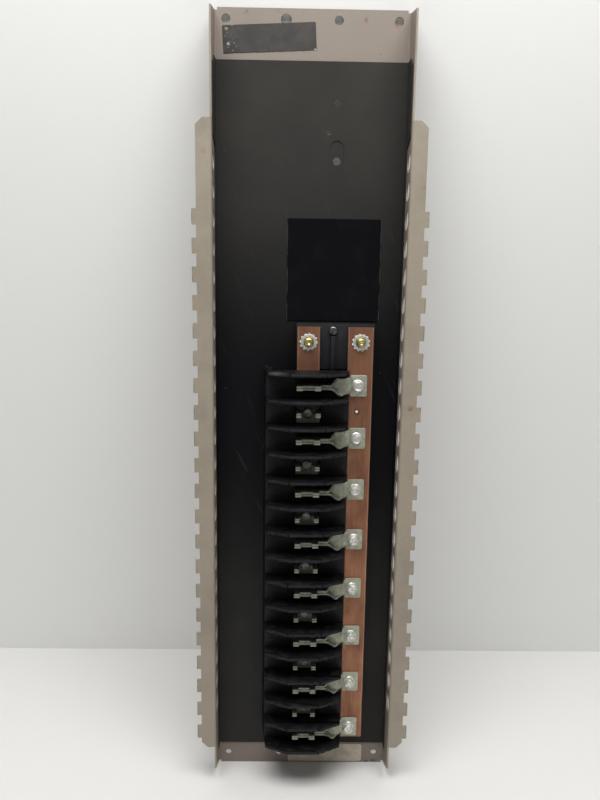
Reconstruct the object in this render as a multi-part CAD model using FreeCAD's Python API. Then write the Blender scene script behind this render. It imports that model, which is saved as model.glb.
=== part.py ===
import FreeCAD, Part
import math
import os

from FreeCAD import Vector

# Interior of a circuit-breaker panelboard: a folded sheet-steel back pan with notched
# rails, an insulating liner, two bus bars on standoffs, moulded barrier blocks and the
# stabs that breakers plug onto.
#
# Frame: +Z runs up the pan and +X to the right, both seen from the front, and the front
# faces -Y. The origin is the middle of the pan's back face. Depths are measured forward
# from that face, so a depth d lies at y = -d.

# Breaker positions
pitch = 19.05                    # width of one breaker pole, three quarters of an inch
lead_teeth = 6                   # rail teeth above the first pole, beside the feeder end
pole_count = 15                  # poles on each side
first_tooth_from_top = 137.0
last_tooth_to_bottom = 44.0

# Back pan
sheet = 1.2
pan_width = 133.6                # over the walls
pan_depth = 26.4                 # back face to the front of the rails
bend_inner = 0.8                 # inner radius of every fold
rail_reach = 9.6                 # from the wall's outer face to the notch bottoms
rail_above_teeth = 63.0
rail_below_teeth = 13.2
rail_chamfer = 4.5
tooth_width = 10.6
tooth_depth = 3.1
tooth_corner = 0.7
plain_wall_drop = 0.8            # the bare wall stops this far behind the rails' front
wall_lean_top = 4.0              # how far the wall's end leans back over its height
wall_lean_bottom = 11.0
relief_width = 2.9               # corner relief between floor and wall
relief_height = 1.7
wall_hole_radius = 6.75
wall_hole_depth = 16.5           # hole centre from the back face

# Holes in the pan's floor
top_hole_inset = 7.0
bottom_hole_inset = 8.8
outer_hole_spacing = 116.2
inner_hole_spacing = 35.4
top_outer_hole_radius = 3.0
top_inner_hole_radius = 3.6
bottom_outer_hole_radius = 2.2
bottom_inner_hole_radius = 2.6
clip_hole_x = 18.0               # two holes and a slot for a main breaker, above the bars
clip_hole_radius = 2.7
upper_clip_hole_above = 77.7     # above the first tooth
slot_end_hole_above = 39.5
pilot_hole_x = 12.3
pilot_hole_above = 58.1
pilot_hole_radius = 1.5
slot_length = 18.4
slot_width = 9.6
slot_depth = 0.4

# Insulating liner and pad
liner_thickness = 0.8
liner_from_top = 32.8
liner_from_bottom = 18.0
liner_bend = 0.3                 # inner radius where the liner's sides turn up
liner_side_depth = 9.4           # front edge of the turned-up sides, just behind the wall holes
wing_depth = 22.0                # front edge of the sides' taller part, above the wall holes
wing_above_hole = 2.5
wing_slope = 6.0
wing_corner = 9.0
pad_thickness = 0.6
pad_width = 66.0
pad_length = 71.0
pad_above_standoff = 1.0
pad_middle_x = 17.5

# Bus bars
bar_thickness = 3.2
bar_edge_radius = 1.2
left_bar_x = 0.3
left_bar_width = 16.0
right_bar_x = 36.9
right_bar_width = 18.0
bar_above_stab = 41.0            # top end of the bars above the first stab screw
bar_below_stab = 9.4
feeder_stud_above_stab = 30.5
spare_hole_radius = 1.4

# Standoffs under the bars
standoff_height = 13.0
standoff_length = 12.0
standoff_overhang = 0.8          # past the outer edges of the two bars
standoff_screw_x = 17.3
end_standoff_lead = 2.2          # the end standoff starts this far above the bars
end_screw_from_end = 4.8
standoff_poles = (3, 7, 11, 14)  # pole gaps, counted down from the first, over a standoff
rib_width = 3.2
rib_height = 2.2
rib_from_end = 8.5

# Moulded barrier blocks
block_foot = 31.5                # half width at the liner
block_shoulder = 28.0            # half width at the ends of the barrier's front edge
barrier_thickness = 2.2
barrier_end_rise = 13.0          # barrier's front edge above the bars, at its ends
barrier_crown_rise = 21.0        # and along its raised middle
barrier_crown_half = 12.0
barrier_corner = 1.5
block_floor = 2.0
skirt_thickness = 2.4
skirt_foot = 6.5
block_gap = 0.2
boss_half_width = 9.5
boss_tip_half_width = 7.0
boss_length = 5.4
boss_height = 8.0
boss_arch_clearance = 0.7
window_clearance = 0.4
blade_rib_half_width = 2.6
neck_notch_clearance = 1.3

# Stabs
stab_sheet = 1.5
seam = 0.3                       # gap between the two leaves of a folded blade
stab_reach_left = 8.1            # blade ends, from the left bar's middle
stab_reach_right = 8.7
horn_width = 4.2
horn_rise = 15.5                 # above the bars
blade_middle_rise = 13.0
blade_shank_rise = 10.3
blade_lift = 3.5                 # underside of the blade above the bars
horn_corner = 0.9
tab_half_length = 7.6
tab_left_x = 29.7
tab_width = 12.2
tab_corner = 1.2
neck_half_width = 5.75
neck_top_x = 24.0
funnel_start_x = 23.0
funnel_end_x = 16.5
lip_rise = 1.9
right_screw_x = 35.3
left_ear_width = 3.4
left_base_below = 7.9
left_base_step = 1.6
left_tongue_half_width = 4.6
left_tongue_above = 4.8

# Screws, studs and washers
screw_radius = 2.0
screw_hole_clearance = 0.15
screw_past_bar = 2.0
screw_flange_radius = 4.5
screw_flange_thickness = 0.8
hex_across_flats = 6.35
hex_height = 3.4
hex_crown = 0.5
pan_screw_radius = 1.9
pan_screw_head_radius = 3.0
pan_screw_head_height = 2.3
stud_radius = 3.175
stud_shoulder_radius = 3.4       # where it passes through the bar and the washer
stud_above_washer = 4.0
stud_dome = 1.3
stud_dimple_radius = 1.3
stud_dimple_depth = 0.8
washer_thickness = 0.9
washer_inner_clearance = 0.1
washer_ring_radius = 4.8
washer_outer_radius = 6.2
washer_teeth = 12
washer_tooth_width = 1.7
washer_tooth_twist = 14.0        # degrees

# Labels, both bare
plate_length = 62.7
plate_height = 17.8
plate_thickness = 0.3
plate_from_wall = 5.35           # from the left wall's inner face to the plate's end
plate_middle_from_top = 18.6
plate_turn = 2.9                 # degrees, right end up
paper_length = 58.8
paper_height = 15.0
paper_thickness = 0.2
paper_corner = 2.0
paper_from_wall = 17.3           # from the right wall's inner face to the label's end
paper_middle_from_bottom = 8.4

# Worked out from the sizes above
tooth_count = lead_teeth + pole_count
pan_length = first_tooth_from_top + (tooth_count - 1) * pitch + last_tooth_to_bottom
pan_top = pan_length / 2
pan_bottom = -pan_length / 2
half_width = pan_width / 2
wall_inner = half_width - sheet
plate_middle_x = plate_from_wall + plate_length / 2 - wall_inner
paper_middle_x = wall_inner - paper_from_wall - paper_length / 2
bend_outer = bend_inner + sheet
liner_front = sheet + liner_thickness
bar_back = liner_front + standoff_height
bar_front = bar_back + bar_thickness
stab_front = bar_front + stab_sheet
right_stab_count = (pole_count + 1) // 2
left_stab_count = pole_count // 2
blade_half = stab_sheet + seam / 2
blade_back = bar_front + blade_lift
screw_hole_radius = screw_radius + screw_hole_clearance
left_screw_x = left_bar_x
standoff_left = left_bar_x - left_bar_width / 2 - standoff_overhang
standoff_right = right_bar_x + right_bar_width / 2 + standoff_overhang


def tooth_z(index):
    """Height of a rail tooth's middle, counted down from the first."""
    return pan_top - first_tooth_from_top - index * pitch


def pole_z(index):
    """Height of a pole's middle, counted down from the first."""
    return tooth_z(lead_teeth + index)


bar_top = pole_z(0) + bar_above_stab
bar_bottom = pole_z(2 * right_stab_count - 2) - bar_below_stab
block_top = pole_z(0) + pitch / 2 + barrier_thickness / 2
feeder_stud_z = pole_z(0) + feeder_stud_above_stab
end_standoff_top = bar_top + end_standoff_lead
end_standoff_bottom = block_top + block_gap
end_screw_z = end_standoff_top - end_screw_from_end


# Small builders
def box(x0, x1, d0, d1, z0, z1):
    """Box between two sides, two depths and two heights."""
    return Part.makeBox(x1 - x0, d1 - d0, z1 - z0, Vector(x0, -d1, z0))


def pin(x, z, radius, d0, d1):
    """Round pin or drill that points to the front."""
    return Part.makeCylinder(radius, d1 - d0, Vector(x, -d0, z), Vector(0, -1, 0))


def rounded_wire(points, radii):
    """Closed outline with each corner rounded by its own radius, none where it is zero."""
    edges = []
    count = len(points)
    ends = []
    for i, corner in enumerate(points):
        before = (points[i - 1] - corner).normalize()
        after = (points[(i + 1) % count] - corner).normalize()
        if radii[i] <= 0:
            ends.append((corner, None, corner))
            continue
        half = before.getAngle(after) / 2
        reach = radii[i] / math.tan(half)
        bisector = (before + after).normalize()
        near = corner + bisector * (radii[i] / math.sin(half) - radii[i])
        ends.append((corner + before * reach, near, corner + after * reach))
    for i, (start, near, stop) in enumerate(ends):
        if near is not None:
            edges.append(Part.Arc(start, near, stop).toShape())
        following = ends[(i + 1) % count][0]
        if (following - stop).Length > 1e-6:
            edges.append(Part.LineSegment(stop, following).toShape())
    return Part.Wire(edges)


def front_plate(outline, d0, d1, radii=None):
    """Plate from an outline of (x, z) points, between two depths."""
    points = [Vector(x, -d0, z) for x, z in outline]
    wire = rounded_wire(points, radii or [0] * len(points))
    return Part.Face(wire).extrude(Vector(0, d0 - d1, 0))


def section_bar(outline, z0, z1, radii=None):
    """Bar of one section, an outline of (x, depth) points, between two heights."""
    points = [Vector(x, -d, z0) for x, d in outline]
    wire = rounded_wire(points, radii or [0] * len(points))
    return Part.Face(wire).extrude(Vector(0, 0, z1 - z0))


def loft_between(first, second):
    """Straight-sided solid between two rectangles given as (x, d0, d1, z0, z1)."""
    wires = []
    for x, d0, d1, z0, z1 in (first, second):
        corners = [Vector(x, -d0, z0), Vector(x, -d1, z0), Vector(x, -d1, z1), Vector(x, -d0, z1)]
        wires.append(Part.makePolygon(corners + corners[:1]))
    return Part.makeLoft(wires, True, True)


def fuse(shapes):
    """One shape of several that touch or overlap, with its seams removed."""
    return shapes[0].fuse(shapes[1:]).removeSplitter()


# Back pan
def pan_channel():
    """Floor and walls up to the fold of the rails, full length."""
    fold = pan_depth - bend_outer
    outline = [
        (-half_width, 0), (half_width, 0), (half_width, fold), (wall_inner, fold),
        (wall_inner, sheet), (-wall_inner, sheet), (-wall_inner, fold), (-half_width, fold),
    ]
    radii = [bend_outer, bend_outer, 0, 0, bend_inner, bend_inner, 0, 0]
    return section_bar(outline, pan_bottom, pan_top, radii)


def rail_fold(side):
    """Fold at the top of one wall and its outward rail, without the teeth."""
    fold = pan_depth - bend_outer
    edge = half_width + rail_reach
    outline = [
        (side * half_width, fold), (side * half_width, pan_depth - sheet),
        (side * edge, pan_depth - sheet), (side * edge, pan_depth),
        (side * wall_inner, pan_depth), (side * wall_inner, fold),
    ]
    radii = [0, bend_inner, 0, 0, bend_outer, 0]
    rail_top = tooth_z(0) + rail_above_teeth
    rail_bottom = tooth_z(tooth_count - 1) - rail_below_teeth
    rail = section_bar(outline, rail_bottom, rail_top, radii)
    for end, inward in ((rail_top, -1), (rail_bottom, 1)):
        corner = [(side * (edge + 1), end - inward), (side * (edge - rail_chamfer), end - inward),
                  (side * (edge - rail_chamfer), end), (side * edge, end + inward * rail_chamfer),
                  (side * (edge + 1), end + inward * rail_chamfer)]
        rail = rail.cut(front_plate(corner, pan_depth - sheet - 1, pan_depth + 1))
    return rail


def rail_teeth(side):
    """Row of teeth on the outer edge of one rail."""
    root = half_width + rail_reach
    teeth = []
    for index in range(tooth_count):
        low = tooth_z(index) - tooth_width / 2
        high = tooth_z(index) + tooth_width / 2
        outline = [(side * (root - sheet), low), (side * (root + tooth_depth), low),
                   (side * (root + tooth_depth), high), (side * (root - sheet), high)]
        radii = [0, tooth_corner, tooth_corner, 0]
        teeth.append(front_plate(outline, pan_depth - sheet, pan_depth, radii))
    return teeth


def bare_wall_tops(side):
    """Plain wall above and below the rail, a little lower than the rail's front."""
    fold = pan_depth - bend_outer
    near, far = sorted((side * wall_inner, side * half_width))
    rail_top = tooth_z(0) + rail_above_teeth
    rail_bottom = tooth_z(tooth_count - 1) - rail_below_teeth
    top = pan_depth - plain_wall_drop
    return [box(near, far, fold, top, rail_top, pan_top),
            box(near, far, fold, top, pan_bottom, rail_bottom)]


def wall_end_cuts():
    """Leaning ends of the walls and the reliefs at the floor's four corners."""
    cuts = []
    for end, inward, lean in ((pan_top, -1, wall_lean_top), (pan_bottom, 1, wall_lean_bottom)):
        foot = end + inward * relief_height
        tip = foot + inward * lean
        wedge = [Vector(-half_width - 1, -sheet, end - inward), Vector(-half_width - 1, -sheet, foot),
                 Vector(-half_width - 1, -pan_depth, tip),
                 Vector(-half_width - 1, -pan_depth - 1, tip),
                 Vector(-half_width - 1, -pan_depth - 1, end - inward)]
        face = Part.Face(Part.makePolygon(wedge + wedge[:1]))
        cuts.append(face.extrude(Vector(pan_width + 2, 0, 0)))
        low, high = sorted((end - inward, foot))
        for side in (-1, 1):
            near, far = sorted((side * (half_width - relief_width), side * (half_width + 1)))
            cuts.append(box(near, far, -1, sheet + bend_inner, low, high))
    return cuts


def floor_holes():
    """Drills for the holes that go through the pan, as (x, z, radius)."""
    top = pan_top - top_hole_inset
    bottom = pan_bottom + bottom_hole_inset
    outer = outer_hole_spacing / 2
    inner = inner_hole_spacing / 2
    return [
        (-outer, top, top_outer_hole_radius), (outer, top, top_outer_hole_radius),
        (-inner, top, top_inner_hole_radius), (inner, top, top_outer_hole_radius),
        (-outer, bottom, bottom_outer_hole_radius), (outer, bottom, bottom_outer_hole_radius),
        (-inner, bottom, bottom_inner_hole_radius),
    ]


def clip_holes():
    """Holes that go through both pan and liner above the bars, as (x, z, radius)."""
    first = tooth_z(0)
    return [
        (clip_hole_x, first + upper_clip_hole_above, clip_hole_radius),
        (clip_hole_x, first + slot_end_hole_above, clip_hole_radius),
        (pilot_hole_x, first + pilot_hole_above, pilot_hole_radius),
    ]


def standoff_screw_heights():
    """Heights of the screws that hold the standoffs, the end one first."""
    between = [(pole_z(gap) + pole_z(gap - 1)) / 2 for gap in standoff_poles]
    return [end_screw_z] + between


def back_pan():
    """The folded steel pan as one sheet."""
    parts = [pan_channel()]
    for side in (-1, 1):
        parts.append(rail_fold(side))
        parts += rail_teeth(side)
        parts += bare_wall_tops(side)
    pan = fuse(parts)
    cuts = wall_end_cuts()
    for index in range(-2, tooth_count - 1):
        centre = Vector(-half_width - 1, -wall_hole_depth, tooth_z(index))
        cuts.append(Part.makeCylinder(wall_hole_radius, pan_width + 2, centre, Vector(1, 0, 0)))
    for x, z, radius in floor_holes() + clip_holes():
        cuts.append(pin(x, z, radius, -1, sheet + 1))
    for z in standoff_screw_heights():
        cuts.append(pin(standoff_screw_x, z, pan_screw_radius, -1, sheet + 1))
    return pan.cut(cuts)


# Liner and pad
def liner_wing(side):
    """Taller part of one turned-up side, above the first wall hole, with slanted ends."""
    wall = side * wall_inner
    top = pan_top - liner_from_top
    low = tooth_z(-2) + wall_hole_radius + wing_above_hole
    foot = liner_front + liner_bend
    outline = [(foot, low), (liner_side_depth, low), (wing_depth, low + wing_slope),
               (wing_depth, top - wing_slope), (wing_depth - wing_corner, top), (foot, top)]
    corners = [Vector(wall, -depth, z) for depth, z in outline]
    face = Part.Face(Part.makePolygon(corners + corners[:1]))
    return face.extrude(Vector(-side * liner_thickness, 0, 0))


def floor_liner():
    """Black insulating sheet over the pan's floor, turned up along both walls."""
    inner = wall_inner - liner_thickness
    outline = [
        (-wall_inner, sheet), (wall_inner, sheet), (wall_inner, liner_side_depth), (inner, liner_side_depth),
        (inner, liner_front), (-inner, liner_front), (-inner, liner_side_depth), (-wall_inner, liner_side_depth),
    ]
    outer_bend = liner_bend + liner_thickness
    radii = [outer_bend, outer_bend, 0, 0, liner_bend, liner_bend, 0, 0]
    tray = section_bar(outline, pan_bottom + liner_from_bottom, pan_top - liner_from_top, radii)
    liner = fuse([tray, liner_wing(-1), liner_wing(1)])
    cuts = [pin(x, z, radius, 0, liner_front + 1) for x, z, radius in clip_holes()]
    for z in standoff_screw_heights():
        cuts.append(pin(standoff_screw_x, z, pan_screw_radius + screw_hole_clearance, 0, liner_front + 1))
    low = tooth_z(0) + slot_end_hole_above - slot_width / 2
    high = low + slot_length
    near = clip_hole_x - slot_width / 2
    far = clip_hole_x + slot_width / 2
    radius = slot_width / 2
    cuts.append(front_plate([(near, low), (far, low), (far, high), (near, high)],
                            liner_front - slot_depth, liner_front + 1, [radius] * 4))
    return liner.cut(cuts)


def main_breaker_pad():
    """Thin glossy sheet on the liner above the bars, where a main breaker lies."""
    low = end_standoff_top + pad_above_standoff
    return box(pad_middle_x - pad_width / 2, pad_middle_x + pad_width / 2,
               liner_front, liner_front + pad_thickness, low, low + pad_length)


# Bars and standoffs
def bus_bar(x, width, screw_x, screw_heights):
    """Flat bar with rounded long edges, a hole for its feeder stud and one per screw."""
    half = width / 2
    outline = [(x - half, bar_back), (x + half, bar_back), (x + half, bar_front), (x - half, bar_front)]
    bar = section_bar(outline, bar_bottom, bar_top, [bar_edge_radius] * 4)
    cuts = [pin(x, feeder_stud_z, stud_shoulder_radius, bar_back - 1, bar_front + 1)]
    for z in screw_heights:
        cuts.append(pin(screw_x, z, screw_hole_radius, bar_back - 1, bar_front + 1))
    return bar.cut(cuts)


def left_screw_heights():
    """Heights of the screws in the left bar."""
    return [pole_z(2 * i + 1) for i in range(left_stab_count)]


def right_screw_heights():
    """Heights of the screws in the right bar."""
    return [pole_z(2 * i) for i in range(right_stab_count)]


def standoff(low, high, screw_z):
    """Insulating block under both bars, drilled for its screw between them."""
    body = box(standoff_left, standoff_right, liner_front, bar_back, low, high)
    hole = pan_screw_radius + screw_hole_clearance
    return body.cut(pin(standoff_screw_x, screw_z, hole, 0, bar_back + 1))


def end_standoff():
    """Longer standoff under the feeder end, with a rib that parts the two bars."""
    body = standoff(end_standoff_bottom, end_standoff_top, end_screw_z)
    rib = box(standoff_screw_x - rib_width / 2, standoff_screw_x + rib_width / 2,
              bar_back, bar_back + rib_height, end_standoff_bottom, end_standoff_top - rib_from_end)
    return fuse([body, rib])


# Barrier blocks
def block_side(depth):
    """Half width of the moulding at a depth: its sides lean in towards the front."""
    full = bar_front + barrier_end_rise - liner_front
    return block_foot - (block_foot - block_shoulder) * (depth - liner_front) / full


def barrier(middle_z):
    """One upright barrier, crowned along its middle, with a foot beside the left bar."""
    end = bar_front + barrier_end_rise
    crown = bar_front + barrier_crown_rise
    foot = block_foot - skirt_foot
    outline = [
        (-block_foot, liner_front), (-block_shoulder, end), (-barrier_crown_half, crown),
        (barrier_crown_half, crown), (block_shoulder, end), (block_side(bar_front), bar_front),
        (-foot, bar_front), (-foot, liner_front),
    ]
    radii = [0, barrier_corner, barrier_corner, barrier_corner, barrier_corner, 0, 0, 0]
    return section_bar(outline, middle_z - barrier_thickness / 2, middle_z + barrier_thickness / 2, radii)


def block_base(low, high):
    """Floor over the left bar, with a skirt down to the liner on its left."""
    front = bar_front + block_floor
    outline = [
        (-block_foot, liner_front), (-block_side(front), front), (block_side(front), front),
        (block_side(bar_front), bar_front), (skirt_thickness - block_side(bar_front), bar_front),
        (skirt_thickness - block_foot, liner_front),
    ]
    return section_bar(outline, low, high)


def screw_boss(barrier_z, screw_z):
    """Wedge under a barrier that arches round the left screw's flange."""
    high = barrier_z - barrier_thickness / 2
    low = high - boss_length
    front = bar_front + block_floor
    outline = [(left_bar_x - boss_half_width, high), (left_bar_x + boss_half_width, high),
               (left_bar_x + boss_tip_half_width, low), (left_bar_x - boss_tip_half_width, low)]
    wedge = front_plate(outline, front, front + boss_height)
    arch = pin(left_screw_x, screw_z, screw_flange_radius + boss_arch_clearance,
               bar_front - 1, front + boss_height + 1)
    return wedge.cut(arch), arch


def left_stab_window(screw_z):
    """Opening in a block's floor that lets a left stab sit on its bar."""
    return box(left_bar_x - stab_reach_left - window_clearance,
               left_bar_x + stab_reach_right + window_clearance,
               bar_front - 1, bar_front + block_floor + 1,
               screw_z - left_base_below - window_clearance,
               screw_z + left_tongue_above + window_clearance)


def barrier_block(index):
    """Block for one right stab and, but for the last, the left stab below it."""
    stab_z = pole_z(2 * index)
    last = index == right_stab_count - 1
    upper = stab_z + pitch / 2
    lower = stab_z - pitch / 2
    high = upper + barrier_thickness / 2
    low = lower - barrier_thickness / 2 if last else high - 2 * pitch + block_gap
    front = bar_front + block_floor
    rib = box(left_bar_x - stab_reach_left, funnel_end_x, front, blade_back,
              stab_z - blade_rib_half_width, stab_z + blade_rib_half_width)
    parts = [block_base(low, high), barrier(upper), barrier(lower), rib]
    notch = neck_half_width + neck_notch_clearance
    cuts = [box(funnel_end_x + neck_notch_clearance, block_foot, bar_front - 1, front + 1,
                stab_z - notch, stab_z + notch)]
    if not last:
        screw_z = pole_z(2 * index + 1)
        boss, arch = screw_boss(lower, screw_z)
        parts.append(boss)
        cuts += [left_stab_window(screw_z), arch]
    return fuse(parts).cut(cuts)


# Stabs
def blade_outline(left, right):
    """Side view of a blade with two horns, as (x, depth) points and corner radii."""
    horn = bar_front + horn_rise
    middle = bar_front + blade_middle_rise
    shank = bar_front + blade_shank_rise
    points = [
        (left, blade_back), (left, horn), (left + horn_width, horn), (left + horn_width, middle),
        (right - horn_width, middle), (right - horn_width, horn), (right, horn),
        (right + horn_corner, shank), (funnel_end_x, shank), (funnel_end_x, blade_back),
    ]
    radii = [horn_corner, horn_corner, horn_corner, 0, 0, horn_corner, horn_corner, 0, 0, 0]
    return points, radii


def right_stab(index):
    """Tab under a screw on the right bar, pinched into a folded blade over the left bar."""
    z = pole_z(2 * index)
    tab_right = tab_left_x + tab_width
    tab = front_plate([(tab_left_x, z - tab_half_length), (tab_right, z - tab_half_length),
                       (tab_right, z + tab_half_length), (tab_left_x, z + tab_half_length)],
                      bar_front, stab_front, [tab_corner] * 4)
    tab = tab.cut(pin(right_screw_x, z, screw_hole_radius, bar_front - 1, stab_front + 1))
    blade_floor = blade_back + stab_sheet
    bevel = tab_left_x + tab_corner
    ramp = section_bar([(bevel, bar_front), (bevel, stab_front), (tab_left_x, stab_front),
                        (neck_top_x, blade_floor), (funnel_start_x, blade_floor),
                        (funnel_start_x, blade_back), (neck_top_x, blade_back),
                        (tab_left_x, bar_front)], z - neck_half_width, z + neck_half_width)
    funnel = front_plate([(funnel_start_x, z - neck_half_width), (funnel_start_x, z + neck_half_width),
                          (funnel_end_x, z + blade_half), (funnel_end_x, z - blade_half)],
                         blade_back, blade_floor)
    parts = [tab, ramp, funnel]
    shank = bar_front + blade_shank_rise
    lip_top = blade_floor + lip_rise
    for side in (-1, 1):
        outer = sorted((z + side * neck_half_width, z + side * (neck_half_width - stab_sheet)))
        inner = sorted((z + side * blade_half, z + side * seam / 2))
        parts.append(loft_between((funnel_start_x, blade_floor, lip_top, *outer),
                                  (funnel_end_x, blade_floor, shank, *inner)))
        lip = [(funnel_start_x, blade_floor), (funnel_start_x, lip_top), (tab_left_x, stab_front),
               (neck_top_x, blade_floor)]
        parts.append(section_bar(lip, *outer))
    points, radii = blade_outline(left_bar_x - stab_reach_left, left_bar_x + stab_reach_right)
    blade = section_bar(points, z - blade_half, z + blade_half, radii)
    slot = box(left_bar_x - stab_reach_left - 1, funnel_end_x, blade_floor, bar_front + horn_rise + 1,
               z - seam / 2, z + seam / 2)
    return fuse(parts + [blade.cut(slot)])


def left_stab(index):
    """Stab screwed to the left bar: a base plate with an upright ear at each end."""
    z = pole_z(2 * index + 1)
    left = left_bar_x - stab_reach_left
    right = left_bar_x + stab_reach_right
    base = box(left, right, bar_front, stab_front, z - left_base_below, z - left_base_step)
    tongue = box(left_screw_x - left_tongue_half_width, left_screw_x + left_tongue_half_width,
                 bar_front, stab_front, z - left_base_step, z + left_tongue_above)
    parts = [base, tongue]
    top = bar_front + horn_rise
    for near, far in ((left, left + left_ear_width), (right - left_ear_width, right)):
        ear = section_bar([(near, bar_front), (near, top), (far, top), (far, bar_front)],
                          z - blade_half, z + blade_half, [0, horn_corner, horn_corner, 0])
        slot = box(near - 1, far + 1, stab_front + stab_sheet, top + 1, z - seam / 2, z + seam / 2)
        parts.append(ear.cut(slot))
    hole = pin(left_screw_x, z, screw_hole_radius, bar_front - 1, stab_front + 1)
    return fuse(parts).cut(hole)


# Fasteners
def hex_screw(x, z):
    """Hexagon screw with a flange, through a stab and its bar."""
    corner = hex_across_flats / math.sqrt(3)
    under = stab_front
    seat = under + screw_flange_thickness
    points = []
    for step in range(6):
        angle = math.radians(60 * step)
        points.append(Vector(x + corner * math.cos(angle), -seat, z + corner * math.sin(angle)))
    head = Part.Face(Part.makePolygon(points + points[:1])).extrude(Vector(0, -hex_height, 0))
    cone = Part.makeCone(corner + hex_height, corner - hex_crown, hex_height + hex_crown,
                         Vector(x, -seat, z), Vector(0, -1, 0))
    flange = pin(x, z, screw_flange_radius, under, seat)
    shank = pin(x, z, screw_radius, bar_back - screw_past_bar, under)
    return fuse([flange, head.common(cone), shank])


def pan_screw(z):
    """Round-head screw through a standoff into the pan's floor."""
    head = pin(standoff_screw_x, z, pan_screw_head_radius, bar_back, bar_back + pan_screw_head_height)
    front = bar_back + pan_screw_head_height
    rim = [edge for edge in head.Edges if abs(edge.BoundBox.YMax + front) < 1e-6]
    head = head.makeFillet(pan_screw_head_height / 2, rim)
    shank = pin(standoff_screw_x, z, pan_screw_radius, 0, bar_back)
    return fuse([head, shank])


def feeder_stud(x):
    """Brass stud pressed into a bar, domed at its end with a dimple in the middle."""
    seat = bar_front + washer_thickness
    front = seat + stud_above_washer
    shoulder = pin(x, feeder_stud_z, stud_shoulder_radius, bar_back, seat)
    free_end = pin(x, feeder_stud_z, stud_radius, seat, front)
    edges = [edge for edge in free_end.Edges if abs(edge.BoundBox.YMax + front) < 1e-6]
    stud = fuse([shoulder, free_end.makeFillet(stud_dome, edges)])
    dimple = Part.makeCone(stud_dimple_radius, 0, stud_dimple_depth,
                           Vector(x, -front, feeder_stud_z), Vector(0, 1, 0))
    return stud.cut(dimple)


def tooth_washer(x):
    """Lock washer with twisted teeth round its outer edge."""
    ring = pin(x, feeder_stud_z, washer_ring_radius, bar_front, bar_front + washer_thickness)
    inner = stud_shoulder_radius + washer_inner_clearance
    middle = -(bar_front + washer_thickness / 2)
    parts = [ring]
    span = washer_tooth_width * math.sin(math.radians(washer_tooth_twist))
    thick = washer_thickness - span
    for step in range(washer_teeth):
        tooth = Part.makeBox(washer_outer_radius - inner, thick, washer_tooth_width,
                             Vector(inner, -thick / 2, -washer_tooth_width / 2))
        tooth.rotate(Vector(0, 0, 0), Vector(1, 0, 0), washer_tooth_twist)
        tooth.rotate(Vector(0, 0, 0), Vector(0, 1, 0), 360 * step / washer_teeth)
        tooth.translate(Vector(x, middle, feeder_stud_z))
        parts.append(tooth)
    bore = pin(x, feeder_stud_z, inner, bar_front - 1, bar_front + washer_thickness + 1)
    return fuse(parts).cut(bore)


# Labels
def rating_plate():
    """Bare metal plate at the top of the pan, stuck on a little askew."""
    half_length = plate_length / 2
    half_height = plate_height / 2
    plate = front_plate([(-half_length, -half_height), (half_length, -half_height),
                         (half_length, half_height), (-half_length, half_height)],
                        sheet, sheet + plate_thickness)
    plate.rotate(Vector(0, 0, 0), Vector(0, -1, 0), plate_turn)
    plate.translate(Vector(plate_middle_x, 0, pan_top - plate_middle_from_top))
    return plate


def lower_label():
    """Bare paper label below the liner."""
    half_length = paper_length / 2
    half_height = paper_height / 2
    middle = pan_bottom + paper_middle_from_bottom
    low = middle - half_height
    high = middle + half_height
    near = paper_middle_x - half_length
    far = paper_middle_x + half_length
    return front_plate([(near, low), (far, low), (far, high), (near, high)],
                       sheet, sheet + paper_thickness, [paper_corner] * 4)


# The nodes
def build():
    """Every piece under its node's name."""
    nodes = {
        "back_pan": back_pan(),
        "floor_liner": floor_liner(),
        "main_breaker_pad": main_breaker_pad(),
        "left_bus_bar": bus_bar(left_bar_x, left_bar_width, left_screw_x, left_screw_heights()),
        "right_bus_bar": bus_bar(right_bar_x, right_bar_width, right_screw_x, right_screw_heights()),
        "end_standoff": end_standoff(),
        "rating_plate": rating_plate(),
        "lower_label": lower_label(),
        "left_feeder_stud": feeder_stud(left_bar_x),
        "right_feeder_stud": feeder_stud(right_bar_x),
        "feeder_lock_washers": Part.makeCompound([tooth_washer(left_bar_x), tooth_washer(right_bar_x)]),
    }
    spare = pin(right_screw_x, pole_z(1), spare_hole_radius, bar_back - 1, bar_front + 1)
    nodes["right_bus_bar"] = nodes["right_bus_bar"].cut(spare)
    heights = standoff_screw_heights()
    for number, z in enumerate(heights[1:], 1):
        nodes[f"bar_standoff_{number}"] = standoff(z - standoff_length / 2, z + standoff_length / 2, z)
    nodes["standoff_screws"] = Part.makeCompound([pan_screw(z) for z in heights])
    for index in range(right_stab_count):
        nodes[f"barrier_block_{index + 1}"] = barrier_block(index)
        nodes[f"right_stab_{index + 1}"] = right_stab(index)
    for index in range(left_stab_count):
        nodes[f"left_stab_{index + 1}"] = left_stab(index)
    nodes["right_stab_screws"] = Part.makeCompound([hex_screw(right_screw_x, z) for z in right_screw_heights()])
    nodes["left_stab_screws"] = Part.makeCompound([hex_screw(left_screw_x, z) for z in left_screw_heights()])
    return nodes


os.makedirs("parts", exist_ok=True)
for name, shape in build().items():
    shape.exportStep(f"parts/{name}.step")
    print(f"{name}: {len(shape.Solids)} solids, {shape.Volume:.1f} mm3, valid {shape.isValid()}")
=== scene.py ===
"""Looks of a circuit-breaker panel interior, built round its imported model."""

import logging
import math
import random
from collections.abc import Callable
from dataclasses import dataclass
from enum import Enum

import bmesh
import bpy
from mathutils import Matrix, Vector


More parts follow.
